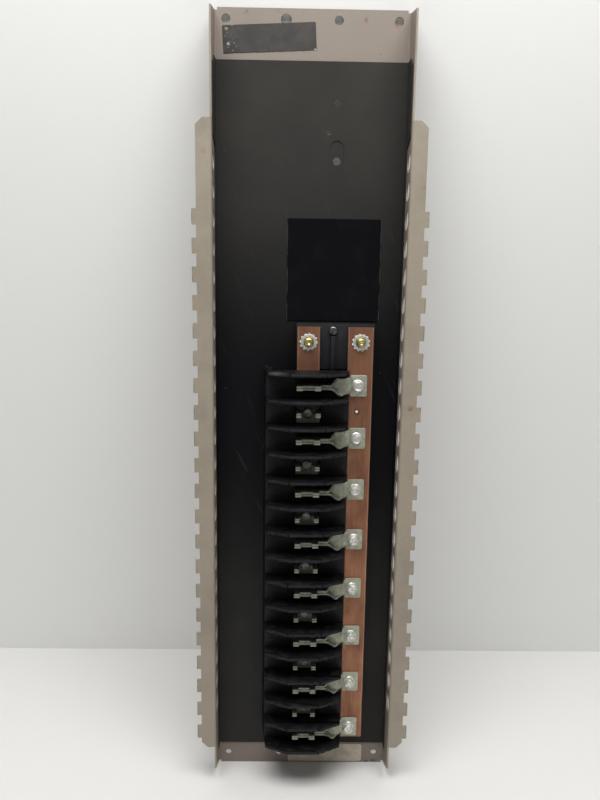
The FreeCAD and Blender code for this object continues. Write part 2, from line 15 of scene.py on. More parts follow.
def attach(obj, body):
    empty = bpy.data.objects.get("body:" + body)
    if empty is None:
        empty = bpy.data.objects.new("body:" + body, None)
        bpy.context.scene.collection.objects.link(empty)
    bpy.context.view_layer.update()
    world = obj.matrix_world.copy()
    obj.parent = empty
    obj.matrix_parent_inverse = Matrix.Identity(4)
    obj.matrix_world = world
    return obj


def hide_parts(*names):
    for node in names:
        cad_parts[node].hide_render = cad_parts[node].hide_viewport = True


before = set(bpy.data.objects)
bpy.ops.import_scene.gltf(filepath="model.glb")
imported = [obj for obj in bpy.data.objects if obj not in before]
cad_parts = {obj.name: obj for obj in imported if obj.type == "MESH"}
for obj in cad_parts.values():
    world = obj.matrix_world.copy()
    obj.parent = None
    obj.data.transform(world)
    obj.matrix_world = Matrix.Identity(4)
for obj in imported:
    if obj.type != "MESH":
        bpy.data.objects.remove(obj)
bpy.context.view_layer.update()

log = logging.getLogger("panel_interior")

MM = 0.001

Point = tuple[float, float, float]
Outline = list[tuple[float, float]]
EdgeTest = Callable[[Vector, Vector], bool]
Tree = bpy.types.NodeTree
Node = bpy.types.Node


def linear(hex_colour: str) -> tuple[float, float, float, float]:
    """Turn an sRGB hex colour into a linear one.

    Args:
        hex_colour: Colour as "#RRGGBB".

    Returns:
        Linear red, green and blue, and an alpha of 1.
    """
    parts = [int(hex_colour[i:i + 2], 16) / 255 for i in (1, 3, 5)]
    red, green, blue = (c / 12.92 if c <= 0.04045 else ((c + 0.055) / 1.055) ** 2.4 for c in parts)
    return red, green, blue, 1.0


def add_node(tree: Tree, kind: str, inputs: dict | None = None, **settings: object) -> Node:
    """Add a node with its settings and its inputs' values and links.

    Args:
        tree: Node tree that the node joins.
        kind: Name of the node's type.
        inputs: For each input, by name or number, its value, or the output socket or node that feeds it.
        **settings: The node's own attributes.

    Returns:
        The new node.
    """
    made = tree.nodes.new(kind)
    for name, value in settings.items():
        setattr(made, name, value)
    for socket, value in (inputs or {}).items():
        if isinstance(value, Node):
            value = next(output for output in value.outputs if output.enabled)
        if isinstance(value, bpy.types.NodeSocket):
            tree.links.new(value, made.inputs[socket])
        else:
            made.inputs[socket].default_value = value
    return made


# Patterns, each with its real size in millimetres

@dataclass(frozen=True)
class Blotches:
    """Soft-edged blotches: noise eased between two of its levels."""

    size: float
    low: float = 0.4
    high: float = 0.7
    strength: float = 1.0
    detail: float = 4.0
    stretch: Point = (1.0, 1.0, 1.0)
    turn: float = 0.0

    def lay(self, tree: Tree, place: bpy.types.NodeSocket) -> Node:
        """Lay the blotches.

        Args:
            tree: Material's nodes.
            place: Object coordinates in metres.

        Returns:
            Mask from 0 to the pattern's strength.
        """
        turned = add_node(tree, "ShaderNodeMapping",
                          {"Vector": place, "Rotation": (0, math.radians(self.turn), 0)})
        scale = tuple(1 / (self.size * s * MM) for s in self.stretch)
        scaled = add_node(tree, "ShaderNodeMapping", {"Vector": turned, "Scale": scale})
        noise = add_node(tree, "ShaderNodeTexNoise",
                         {"Vector": scaled, "Scale": 1.0, "Detail": self.detail, "Roughness": 0.6})
        return add_node(tree, "ShaderNodeMapRange",
                        {"Value": noise, "From Min": self.low, "From Max": self.high,
                         "To Max": self.strength},
                        interpolation_type="SMOOTHSTEP")


@dataclass(frozen=True)
class Specks:
    """Scattered round specks, such as dust or paint flecks."""

    spacing: float
    radius: float
    share: float
    strength: float = 1.0

    def lay(self, tree: Tree, place: bpy.types.NodeSocket) -> Node:
        """Lay the specks.

        Args:
            tree: Material's nodes.
            place: Object coordinates in metres.

        Returns:
            Mask that is the pattern's strength on a speck and 0 elsewhere.
        """
        cells = add_node(tree, "ShaderNodeTexVoronoi", {"Vector": place, "Scale": 1 / (self.spacing * MM)})
        chance = add_node(tree, "ShaderNodeSeparateColor", {"Color": cells.outputs["Color"]})
        chosen = add_node(tree, "ShaderNodeMath", {0: chance.outputs[0], 1: self.share},
                          operation="LESS_THAN")
        reach = add_node(tree, "ShaderNodeMath", {0: chance.outputs[1], 1: self.radius / self.spacing},
                         operation="MULTIPLY")
        inside = add_node(tree, "ShaderNodeMath", {0: cells.outputs["Distance"], 1: reach},
                          operation="LESS_THAN")
        speck = add_node(tree, "ShaderNodeMath", {0: inside, 1: chosen}, operation="MULTIPLY")
        return add_node(tree, "ShaderNodeMath", {0: speck, 1: self.strength}, operation="MULTIPLY")


@dataclass(frozen=True)
class Mark:
    """A local mark with a ragged edge, at a place on the object."""

    place: Point
    radius: float
    shade: str
    strength: float = 0.8
    raggedness: float = 1.6

    def lay(self, tree: Tree, place: bpy.types.NodeSocket) -> Node:
        """Lay the mark.

        Args:
            tree: Material's nodes.
            place: Object coordinates in metres.

        Returns:
            Mask that is the mark's strength at its middle.
        """
        middle = tuple(v * MM for v in self.place)
        away = add_node(tree, "ShaderNodeVectorMath", {0: place, 1: middle}, operation="DISTANCE")
        near = add_node(tree, "ShaderNodeMapRange",
                        {"Value": away.outputs["Value"], "From Min": self.radius * MM,
                         "From Max": self.radius * 0.2 * MM, "To Max": self.strength},
                        interpolation_type="SMOOTHSTEP")
        ragged = Blotches(self.raggedness, 0.36, 0.56).lay(tree, place)
        return add_node(tree, "ShaderNodeMath", {0: near, 1: ragged}, operation="MULTIPLY")


# Finishes

@dataclass
class Coat:
    """What a finish lays on its shader: a colour, and masks that lift and dull the surface."""

    colour: Node
    height: Node | None = None
    dull: Node | None = None
    dull_full: float = 1.0


@dataclass(frozen=True)
class Finish:
    """A surface finish, made into a material once and shared."""

    name: str
    roughness: float
    metallic: float = 0.0
    ior: float = 1.5
    marks: tuple[Mark, ...] = ()
    colour: str = "#808080"
    relief: float = 0.02
    dulling: float = 0.14

    def material(self) -> bpy.types.Material:
        """Give the finish's material, made the first time it is asked for."""
        if self.name in bpy.data.materials:
            return bpy.data.materials[self.name]
        made = bpy.data.materials.new(self.name)
        made.use_nodes = True
        tree = made.node_tree
        tree.nodes.clear()
        place = add_node(tree, "ShaderNodeTexCoord").outputs["Object"]
        coat = self.lay(tree, place)
        inputs = {"Base Color": coat.colour, "Roughness": self.roughness, "Metallic": self.metallic}
        if coat.dull:
            rougher = self.roughness + self.dulling
            inputs["Roughness"] = add_node(tree, "ShaderNodeMapRange",
                                           {"Value": coat.dull, "From Max": coat.dull_full,
                                            "To Min": self.roughness, "To Max": rougher})
        if not self.metallic:
            inputs["IOR"] = self.ior
        if coat.height:
            inputs["Normal"] = add_node(tree, "ShaderNodeBump",
                                        {"Height": coat.height, "Distance": self.relief * MM})
        shader = add_node(tree, "ShaderNodeBsdfPrincipled", inputs)
        add_node(tree, "ShaderNodeOutputMaterial", {"Surface": shader})
        return made

    def lay(self, tree: Tree, place: bpy.types.NodeSocket) -> Coat:
        """Lay the finish's patterns.

        Args:
            tree: Material's nodes.
            place: Object coordinates in metres.

        Returns:
            The coat for the shader.
        """
        raise NotImplementedError

    def coloured(self, tree: Tree, place: bpy.types.NodeSocket, over: list[tuple[Node, str]]) -> Node:
        """Lay colours and then the finish's marks over its ground, each where its mask says.

        Args:
            tree: Material's nodes.
            place: Object coordinates in metres.
            over: Mask and colour of each layer, the lowest first.

        Returns:
            The finished colour.
        """
        colour: object = linear(self.colour)
        for mask, shade in over + [(mark.lay(tree, place), mark.shade) for mark in self.marks]:
            colour = add_node(tree, "ShaderNodeMix", {0: mask, 6: colour, 7: linear(shade)}, data_type="RGBA")
        return colour


@dataclass(frozen=True)
class BakedEnamel(Finish):
    """Baked alkyd enamel, sprayed on cold-rolled steel: satin, with a faint orange peel."""

    colour: str = "#958B7C"
    handled: str = "#80776A"
    # Colour of the painted shade over the pan's floor and the walls' inner faces
    channel_shade: str = "#7C7169"
    steel: str = "#4A443F"
    grime: Blotches = Blotches(38, 0.42, 0.74, 0.7, 5)
    mottle: Blotches = Blotches(2.2, 0.3, 0.7, 0.2, 2)
    wear: Blotches = Blotches(4, 0.44, 0.58, 1.0, 3)
    orange_peel: Blotches = Blotches(1.6, 0.3, 0.7, 1.0, 1)
    chips: Specks = Specks(9.0, 0.55, 0.16, 0.75)
    tooth_tip: float = 79.2
    tip_reach: float = 0.4
    tip_wear: float = 0.7
    channel: float = -21.0
    channel_fade: float = 3.0
    channel_shade_strength: float = 0.8

    def lay(self, tree: Tree, place: bpy.types.NodeSocket) -> Coat:
        """Lay painted shade in the channel, handling marks, chips and worn tooth tips."""
        grime = self.grime.lay(tree, place)
        axes = add_node(tree, "ShaderNodeSeparateXYZ", {0: place})
        # Painted shade: darkens the floor and the walls' inner faces up to 21 mm out, where the walls shade
        # them
        inside = add_node(tree, "ShaderNodeMapRange",
                          {"Value": axes.outputs["Y"], "From Min": (self.channel - self.channel_fade) * MM,
                           "From Max": self.channel * MM, "To Max": self.channel_shade_strength})
        outward = add_node(tree, "ShaderNodeMath", {0: axes.outputs["X"]}, operation="ABSOLUTE")
        tip = add_node(tree, "ShaderNodeMapRange",
                       {"Value": outward, "From Min": (self.tooth_tip - self.tip_reach) * MM,
                        "From Max": self.tooth_tip * MM, "To Max": self.tip_wear})
        worn = add_node(tree, "ShaderNodeMath", {0: tip, 1: self.wear.lay(tree, place)}, operation="MULTIPLY")
        over = [(grime, self.handled), (inside, self.channel_shade), (self.mottle.lay(tree, place), self.handled),
                (self.chips.lay(tree, place), self.steel), (worn, self.steel)]
        return Coat(self.coloured(tree, place, over), self.orange_peel.lay(tree, place), grime,
                    self.grime.strength)


@dataclass(frozen=True)
class VulcanisedFibre(Finish):
    """Black vulcanised fibre sheet, calendered: a dull sheen with scuffs and specks, and dust and a painted
    reflection towards its ends.
    """

    colour: str = "#111114"
    dust: str = "#403F3B"
    fleck: str = "#A7A49B"
    relief: float = 0.01
    dulling: float = 0.1
    # Dust and a painted reflection of the ceiling, lightening the sheet towards its top
    top_dust_and_reflection: tuple[float, float, float] = (20.0, 215.0, 0.76)
    # Painted reflection of the table, lightening the sheet towards its bottom
    low_reflection: tuple[float, float, float] = (-20.0, -190.0, 0.6)
    clouds: Blotches = Blotches(55, 0.2, 0.7, 0.3, 5)
    scuffs: Blotches = Blotches(3.2, 0.64, 0.74, 0.3, 3, (1, 1, 11), 24)
    grain: Blotches = Blotches(0.9, 0.3, 0.7, 1.0, 2)
    flecks: Specks = Specks(7.5, 0.38, 0.13, 0.5)

    def lay(self, tree: Tree, place: bpy.types.NodeSocket) -> Coat:
        """Lay a painted reflection towards both ends, with dust at the top, then scuffs and pale flecks on
        the sheet.
        """
        height = add_node(tree, "ShaderNodeSeparateXYZ", {0: place}).outputs["Z"]
        # Masks of the dust and the painted reflection at both ends of the sheet
        ends = [add_node(tree, "ShaderNodeMapRange",
                         {"Value": height, "From Min": start * MM, "From Max": full * MM, "To Max": most},
                         interpolation_type="SMOOTHSTEP")
                for start, full, most in (self.top_dust_and_reflection, self.low_reflection)]
        clouds = self.clouds.lay(tree, place)
        over = [(ends[0], self.dust), (ends[1], self.dust), (clouds, self.colour),
                (self.scuffs.lay(tree, place), self.dust), (self.flecks.lay(tree, place), self.fleck)]
        return Coat(self.coloured(tree, place, over), self.grain.lay(tree, place), clouds,
                    self.clouds.strength)


@dataclass(frozen=True)
class PolishedSheet(Finish):
    """Black polyester film laminate, rolled smooth: a mirror sheen with pale cut edges."""

    colour: str = "#09090B"
    edge: str = "#626264"
    middle_x: float = 17.5
    half_width: float = 33.0
    edge_from: float = 0.6
    edge_full: float = 0.1
    breaks: Blotches = Blotches(9, 0.36, 0.62, 0.5, 3)
    smears: Blotches = Blotches(14, 0.4, 0.7, 1.0, 4)

    def lay(self, tree: Tree, place: bpy.types.NodeSocket) -> Coat:
        """Lay pale cut edges and faint smears on the film."""
        across = add_node(tree, "ShaderNodeSeparateXYZ", {0: place}).outputs["X"]
        aside = add_node(tree, "ShaderNodeMath", {0: across, 1: self.middle_x * MM}, operation="SUBTRACT")
        aside = add_node(tree, "ShaderNodeMath", {0: aside}, operation="ABSOLUTE")
        rim = add_node(tree, "ShaderNodeMapRange",
                       {"Value": aside, "From Min": (self.half_width - self.edge_from) * MM,
                        "From Max": (self.half_width - self.edge_full) * MM})
        edge = add_node(tree, "ShaderNodeMath", {0: rim, 1: self.breaks.lay(tree, place)},
                        operation="MULTIPLY")
        return Coat(self.coloured(tree, place, [(edge, self.edge)]), None, self.smears.lay(tree, place))


@dataclass(frozen=True)
class DrawnCopper(Finish):
    """Hard-drawn copper bar, bare: brown tarnish, fine draw lines and a painted highlight on its sides."""

    colour: str = "#9C6E54"
    tarnish: str = "#7A513E"
    # Paler copper of the draw lines, also the colour of the painted highlight on the sides
    rubbed_and_highlight: str = "#C89E84"
    dirt: str = "#2C1E17"
    relief: float = 0.004
    clouds: Blotches = Blotches(16, 0.36, 0.7, 1.0, 5, (1, 1, 2.5))
    draw_lines: Blotches = Blotches(0.5, 0.35, 0.7, 0.14, 2, (1, 1, 90))
    dirt_specks: Specks = Specks(4.0, 0.35, 0.16, 0.7)

    def lay(self, tree: Tree, place: bpy.types.NodeSocket) -> Coat:
        """Lay tarnish, draw lines, a painted highlight on the sides and specks on the copper."""
        clouds = self.clouds.lay(tree, place)
        lines = self.draw_lines.lay(tree, place)
        # Painted highlight: faces that turn sideways, the bars' sides, are laid paler
        normal = add_node(tree, "ShaderNodeNewGeometry").outputs["Normal"]
        sideways = add_node(tree, "ShaderNodeSeparateXYZ", {0: normal}).outputs["X"]
        sideways = add_node(tree, "ShaderNodeMath", {0: sideways}, operation="ABSOLUTE")
        edge = add_node(tree, "ShaderNodeMapRange",
                        {"Value": sideways, "From Min": 0.12, "From Max": 0.5, "To Max": 0.75})
        over = [(clouds, self.tarnish), (lines, self.rubbed_and_highlight), (edge, self.rubbed_and_highlight),
                (self.dirt_specks.lay(tree, place), self.dirt)]
        return Coat(self.coloured(tree, place, over), lines, clouds)


@dataclass(frozen=True)
class TinPlate(Finish):
    """Hot-tinned copper strip: a soft grey-green metal, mottled, with painted shade on the parts that stand
    out furthest.
    """

    colour: str = "#ADAF9E"
    dull: str = "#9A9C8B"
    stain: str = "#7A7968"
    # Colour of the painted shade on the horns and ears
    horn_shade: str = "#77776E"
    relief: float = 0.014
    horn_shade_depth: float = -27.0
    horn_shade_fade: float = 6.0
    horn_shade_strength: float = 0.38
    mottle: Blotches = Blotches(3.4, 0.35, 0.68)
    stains: Blotches = Blotches(1.3, 0.58, 0.74, 0.5, 3)
    ripple: Blotches = Blotches(1.2, 0.3, 0.7, 1.0, 2)

    def lay(self, tree: Tree, place: bpy.types.NodeSocket) -> Coat:
        """Lay mottling, stains, and painted shade on the parts that stand out furthest."""
        mottled = self.mottle.lay(tree, place)
        depth = add_node(tree, "ShaderNodeSeparateXYZ", {0: place}).outputs["Y"]
        # Painted shade: darkens the tin from 21 mm out, fully from 27 mm, on the horns and ears
        horn_shade_mask = add_node(tree, "ShaderNodeMapRange",
                           {"Value": depth, "From Min": (self.horn_shade_depth + self.horn_shade_fade) * MM,
                            "From Max": self.horn_shade_depth * MM, "To Max": self.horn_shade_strength})
        over = [(mottled, self.dull), (self.stains.lay(tree, place), self.stain), (horn_shade_mask, self.horn_shade)]
        return Coat(self.coloured(tree, place, over), self.ripple.lay(tree, place), mottled)


@dataclass(frozen=True)
class PhenolicMoulding(Finish):
    """Black phenolic, compression moulded: hard satin skin, lighter on faces that look forward, and rough
    edges.
    """

    colour: str = "#070709"
    dust: str = "#2A2A2D"
    crumb: str = "#8E8C88"
    relief: float = 0.06
    dulling: float = 0.12
    flow: Blotches = Blotches(6, 0.45, 0.72, 0.35, 5)
    pores: Blotches = Blotches(0.8, 0.3, 0.7, 1.0, 4)
    crumbs: Specks = Specks(7.0, 0.34, 0.1, 0.8)

    def lay(self, tree: Tree, place: bpy.types.NodeSocket) -> Coat:
        """Lay a lighter tone on faces that look forward, flow marks, pores and a few pale crumbs."""
        normal = add_node(tree, "ShaderNodeNewGeometry").outputs["Normal"]
        forward = add_node(tree, "ShaderNodeSeparateXYZ", {0: normal}).outputs["Y"]
        facing_forward = add_node(tree, "ShaderNodeMapRange",
                         {"Value": forward, "From Min": -0.35, "From Max": -0.95, "To Max": 0.5})
        flow = self.flow.lay(tree, place)
        over = [(flow, self.dust), (facing_forward, self.dust), (self.crumbs.lay(tree, place), self.crumb)]
        return Coat(self.coloured(tree, place, over), self.pores.lay(tree, place), flow, self.flow.strength)


@dataclass(frozen=True)
class TurnedMetal(Finish):
    """Small turned or headed hardware: plated or bare metal with tarnish in blotches."""

    colour: str = "#DFDFD9"
    tarnish: str = "#A4A49C"
    relief: float = 0.008
    dulling: float = 0.16
    blotch: float = 1.8
    tooling: Blotches = Blotches(0.5, 0.3, 0.7, 1.0, 2)

    def lay(self, tree: Tree, place: bpy.types.NodeSocket) -> Coat:
        """Lay tarnish and a fine tool texture on the metal."""
        blotched = Blotches(self.blotch, 0.42, 0.68).lay(tree, place)
        return Coat(self.coloured(tree, place, [(blotched, self.tarnish)]), self.tooling.lay(tree, place),
                    blotched)


@dataclass(frozen=True)
class AnodisedPlate(Finish):
    """Dark anodised aluminium foil plate: matt grey-brown, with bright scratches where it wore."""

    colour: str = "#292624"
    faded: str = "#37322F"
    bare: str = "#C9C5BC"
    relief: float = 0.04
    worn_side: float = -50.0
    worn_fade: float = 5.0
    worn_share: float = 0.7
    scratches: Blotches = Blotches(0.9, 0.63, 0.7, 1.0, 4, (2.5, 1, 1), 30)
    fading: Blotches = Blotches(12, 0.4, 0.7, 1.0, 5)
    waves: Blotches = Blotches(5, 0.3, 0.7, 1.0, 2)
    pits: Specks = Specks(3.6, 0.3, 0.07, 0.6)

    def lay(self, tree: Tree, place: bpy.types.NodeSocket) -> Coat:
        """Lay fading, scratches and chips on the plate."""
        across = add_node(tree, "ShaderNodeSeparateXYZ", {0: place}).outputs["X"]
        side = add_node(tree, "ShaderNodeMapRange",
                        {"Value": across, "From Min": (self.worn_side + self.worn_fade) * MM,
                         "From Max": (self.worn_side - self.worn_fade) * MM, "To Max": self.worn_share})
        scratch = add_node(tree, "ShaderNodeMath", {0: side, 1: self.scratches.lay(tree, place)},
                           operation="MULTIPLY")
        over = [(self.fading.lay(tree, place), self.faded), (scratch, self.bare),
                (self.pits.lay(tree, place), self.bare)]
        return Coat(self.coloured(tree, place, over), self.waves.lay(tree, place))


@dataclass(frozen=True)
class AgedPaper(Finish):
    """Uncoated label paper, aged: pale tan, stained along its edges, quite matt."""

    colour: str = "#CDC2B1"
    stain: str = "#A5998A"
    stains: Blotches = Blotches(9, 0.4, 0.7, 0.7, 5)
    fibres: Blotches = Blotches(0.7, 0.4, 0.7, 0.3, 3, (3, 1, 1))

    def lay(self, tree: Tree, place: bpy.types.NodeSocket) -> Coat:
        """Lay stains and fibres on the paper."""
        fibres = self.fibres.lay(tree, place)
        over = [(self.stains.lay(tree, place), self.stain), (fibres, self.stain)]
        return Coat(self.coloured(tree, place, over), fibres)


# Drips, rust and nicks where the photograph shows them
DRIP = "#6E4A33"
RUST = "#7E4E2C"
NICK = "#1E1A17"
PAN_MARKS = (
    Mark((72.0, -26.4, 15.0), 2.8, RUST, 0.9),
    Mark((75.0, -26.4, 165.0), 2.4, RUST, 0.35),
    Mark((-71.0, -26.4, 186.0), 3.0, RUST, 0.3),
    Mark((57.0, -1.2, 272.5), 4.2, "#8F4F27", 0.75),
    Mark((36.0, -1.2, 274.5), 2.6, DRIP, 0.75),
    Mark((-23.0, -1.2, 279.0), 2.2, DRIP, 0.6),
    Mark((-44.5, -1.2, 278.5), 2.6, DRIP, 0.7),
    Mark((58.0, -1.0, -280.0), 2.6, NICK, 0.95, 1.0),
    Mark((52.5, -1.0, -280.6), 2.2, NICK, 0.9, 1.0),
    Mark((46.0, -1.0, -280.4), 2.4, NICK, 0.95, 1.0),
)
# Painted shade: a dark ring round the right bar's spare hole, where its gap lies in shadow
HOLE_SHADE = (Mark((35.3, -18.2, 10.65), 2.9, "#1C1411", 0.95, 6.0),)
CRUMBS = (Mark((-22.0, -34.0, 40.0), 9.0, "#4A4948", 0.8, 0.9),)
PLATE_MARKS = (
    Mark((1.6, -1.5, 255.0), 1.5, "#D8D4CA", 1.0, 3.0),
    Mark((-58.0, -1.5, 267.5), 1.3, "#BDB9B0", 0.8),
    Mark((-56.5, -1.5, 258.0), 1.5, "#BDB9B0", 0.7),
)

ENAMEL = BakedEnamel("taupe_baked_enamel", 0.56, marks=PAN_MARKS)
FIBRE = VulcanisedFibre("black_vulcanised_fibre", 0.42, ior=1.18)
FILM = PolishedSheet("black_polyester_film", 0.1)
COPPER = DrawnCopper("drawn_bus_copper", 0.42, 0.8, marks=HOLE_SHADE)
TIN = TinPlate("tinned_copper_strip", 0.46, 0.6)
PHENOLIC = PhenolicMoulding("black_phenolic", 0.52, ior=1.28, marks=CRUMBS)
ZINC = TurnedMetal("zinc_plated_steel", 0.44, 0.85)
# Painted highlight: the rivet end's near-white colour stands in for the lamp's glint on it
HIGHLIT_RIVET = TurnedMetal("aluminium_rivet_end_painted_highlight", 0.5, 0.2, colour="#F4F2EC", tarnish="#DCDAD3")
# Painted shade: a darker copy of the zinc finish for the left screws, which sit in shade between the barriers
SHADED_ZINC = TurnedMetal("shaded_zinc_steel", 0.42, 0.85, colour="#8F8F8A", tarnish="#5C5C58")
BLACK_STEEL = TurnedMetal("oxidised_screw_steel", 0.36, 1.0, colour="#7C7C7C", tarnish="#3C3C3C")
BRASS = TurnedMetal("turned_brass", 0.3, 0.9, colour="#C9BB85", tarnish="#8A7E45", blotch=2.4)
PLATE = AnodisedPlate("dark_anodised_plate", 0.52, marks=PLATE_MARKS)
PAPER = AgedPaper("aged_label_paper", 0.85)


# Stage

@dataclass
class Studio:
    """Pale table, a pale card leant on the part's back, soft light and the camera."""

    table_z: float = -0.281
    table_back: float = 0.174
    table_front: float = -1.6
    half_width: float = 1.5
    card_touch: Point = (0.0, 0.0005, 0.281)
    card_top: float = 0.62
    table_colour: str = "#D9D8D5"
    card_colour: str = "#F1F1EF"
    lens: float = 33.75
    camera_place: Point = (-0.013757, -0.540440, 0.118316)
    camera_right: Point = (0.99980577, -0.01364683, 0.01421932)
    camera_down: Point = (0.01141452, -0.18720135, -0.98225524)
    camera_forward: Point = (0.01606655, 0.98222677, -0.18700921)
    ceiling: str = "#E2E3E3"
    room: str = "#818387"
    room_level: float = 0.4
    key_place: Point = (0.0, -0.42, 0.82)
    key_target: Point = (0.0, -0.05, 0.0)
    key_size: tuple[float, float] = (1.0, 0.45)
    key_power: float = 13.3

    def build(self) -> None:
        """Set up the whole stage."""
        scene = bpy.context.scene
        scene.view_settings.view_transform = "Standard"
        self.lay_table()
        self.lean_card()
        self.light_world(scene)
        self.hang_lamp()
        self.place_camera(scene)

    def lay_table(self) -> None:
        """Lay the pale table that the part stands on."""
        table = self.add_sheet("pale_table", self.table_front, self.table_back)
        surface, tree = self.new_surface("pale_table_top")
        shader = add_node(tree, "ShaderNodeBsdfPrincipled",
                          {"Base Color": linear(self.table_colour), "Roughness": 0.6})
        add_node(tree, "ShaderNodeOutputMaterial", {"Surface": shader})
        table.data.materials.append(surface)

    def lean_card(self) -> None:
        """Lean a pale card, open from behind, on the top of the part's back."""
        card = self.add_sheet("pale_card", 0.0, self.table_back)
        rise = self.card_touch[2] - self.table_z
        slope = (self.card_touch[1] - self.table_back) / rise
        for corner in card.data.vertices:
            height = self.card_top - self.table_z if corner.co.y < self.table_back / 2 else 0.0
            corner.co = (corner.co.x, self.table_back + slope * height, self.table_z + height)
        card.data.flip_normals()
        surface, tree = self.new_surface("pale_card_board")
        shader = add_node(tree, "ShaderNodeBsdfPrincipled",
                          {"Base Color": linear(self.card_colour), "Roughness": 0.7})
        behind = add_node(tree, "ShaderNodeNewGeometry").outputs["Backfacing"]
        clear = add_node(tree, "ShaderNodeBsdfTransparent")
        mixed = add_node(tree, "ShaderNodeMixShader", {0: behind, 1: shader, 2: clear})
        add_node(tree, "ShaderNodeOutputMaterial", {"Surface": mixed})
        card.data.materials.append(surface)

    def add_sheet(self, name: str, front: float, back: float) -> bpy.types.Object:
        """Add a flat sheet at the table's height, as part of the stage."""
        deselect()
        bpy.ops.mesh.primitive_plane_add(size=1, location=(0, (front + back) / 2, self.table_z))
        sheet = bpy.context.active_object
        sheet.name = name
        sheet.scale = (2 * self.half_width, back - front, 1)
        bpy.ops.object.transform_apply(location=True, rotation=False, scale=True)
        return sheet

    def new_surface(self, name: str) -> tuple[bpy.types.Material, Tree]:
        """Start a material with no nodes."""
        surface = bpy.data.materials.new(name)
        surface.use_nodes = True
        surface.node_tree.nodes.clear()
        return surface, surface.node_tree

    def light_world(self, scene: bpy.types.Scene) -> None:
        """Give the surroundings a bright ceiling and a dimmer room in front."""
        world = bpy.data.worlds.new("studio_room")
        scene.world = world
        world.use_nodes = True
        tree = world.node_tree
        tree.nodes.clear()
        toward = add_node(tree, "ShaderNodeTexCoord").outputs["Generated"]
        axes = add_node(tree, "ShaderNodeSeparateXYZ", {0: toward})
        front = add_node(tree, "ShaderNodeMapRange",
                         {"Value": axes.outputs["Y"], "From Min": 0.15, "From Max": -0.25},
                         interpolation_type="SMOOTHSTEP")
        low = add_node(tree, "ShaderNodeMapRange",
                       {"Value": axes.outputs["Z"], "From Min": 0.45, "From Max": 0.12},
                       interpolation_type="SMOOTHSTEP")
        level = add_node(tree, "ShaderNodeMath", {0: front, 1: low}, operation="MULTIPLY")
        room = add_node(tree, "ShaderNodeMix", {0: level, 6: linear(self.ceiling), 7: linear(self.room)},
                        data_type="RGBA")
        background = add_node(tree, "ShaderNodeBackground", {"Color": room, "Strength": self.room_level})
        add_node(tree, "ShaderNodeOutputWorld", {"Surface": background})

    def hang_lamp(self) -> None:
        """Hang the soft rectangular lamp over the table."""
        data = bpy.data.lights.new("overhead_softbox", "AREA")
        data.shape = "RECTANGLE"
        data.size, data.size_y = self.key_size
        data.energy = self.key_power
        lamp = bpy.data.objects.new("overhead_softbox", data)
        lamp.location = self.key_place
        aim = Vector(self.key_target) - Vector(self.key_place)
        lamp.rotation_euler = aim.to_track_quat("-Z", "Y").to_euler()
        bpy.context.scene.collection.objects.link(lamp)

    def place_camera(self, scene: bpy.types.Scene) -> None:
        """Place the camera as the photograph was taken."""
        data = bpy.data.cameras.new("camera")
        data.sensor_width = 36
        data.lens = self.lens
        data.clip_start = 0.01
        camera = bpy.data.objects.new("camera", data)
        rows = Matrix((self.camera_right, -Vector(self.camera_down), -Vector(self.camera_forward)))
        camera.matrix_world = Matrix.Translation(self.camera_place) @ rows.transposed().to_4x4()
        scene.collection.objects.link(camera)
        scene.camera = camera


# Modelling, in millimetres until a piece is settled

class Draw(Enum):
    """Direction in which an outline is drawn out into a solid."""

    UP = (0.0, 0.0, 1.0)
    FORWARD = (0.0, -1.0, 0.0)


def deselect() -> None:
    """Leave nothing selected, so that the next operator acts on its own piece only."""
    bpy.ops.object.select_all(action="DESELECT")


def take(piece: bpy.types.Object) -> None:
    """Make a piece the only selected one and the active one."""
    deselect()
    piece.select_set(True)
    bpy.context.view_layer.objects.active = piece


def tidy_shell(piece: bpy.types.Object) -> None:
    """Merge doubled corners and turn all faces outwards."""
    take(piece)
    bpy.ops.object.mode_set(mode="EDIT")
    bpy.ops.mesh.select_all(action="SELECT")
    bpy.ops.mesh.remove_doubles(threshold=0.0005)
    bpy.ops.mesh.dissolve_degenerate(threshold=0.0005)
    bpy.ops.mesh.normals_make_consistent(inside=False)
    bpy.ops.object.mode_set(mode="OBJECT")


def add_prism(outline: Outline, low: float, high: float, draw: Draw) -> bpy.types.Object:
    """Shape a disc to an outline and draw it out.

    Args:
        outline: Corners as (x, depth) for UP and as (x, z) for FORWARD.
        low: Height or depth where the prism starts.
        high: Height or depth where it ends.
        draw: Direction in which it is drawn out.

    Returns:
        The prism.
    """
    deselect()
    bpy.ops.mesh.primitive_circle_add(vertices=len(outline), radius=1, fill_type="NGON")
    piece = bpy.context.active_object
    for corner, (x, other) in zip(piece.data.vertices, outline):
        corner.co = (x, -other, low) if draw is Draw.UP else (x, -low, other)
    bpy.ops.object.mode_set(mode="EDIT")
    bpy.ops.mesh.select_all(action="SELECT")
    step = tuple(v * (high - low) for v in draw.value)
    bpy.ops.mesh.extrude_region_move(TRANSFORM_OT_translate={"value": step})
    bpy.ops.mesh.select_all(action="SELECT")
    bpy.ops.mesh.normals_make_consistent(inside=False)
    bpy.ops.object.mode_set(mode="OBJECT")
    return piece


def add_block(low: Point, high: Point) -> bpy.types.Object:
    """Add a rectangular block between two corners, given as (x, depth, z)."""
    outline = [(low[0], low[1]), (high[0], low[1]), (high[0], high[1]), (low[0], high[1])]
    return add_prism(outline, low[2], high[2], Draw.UP)


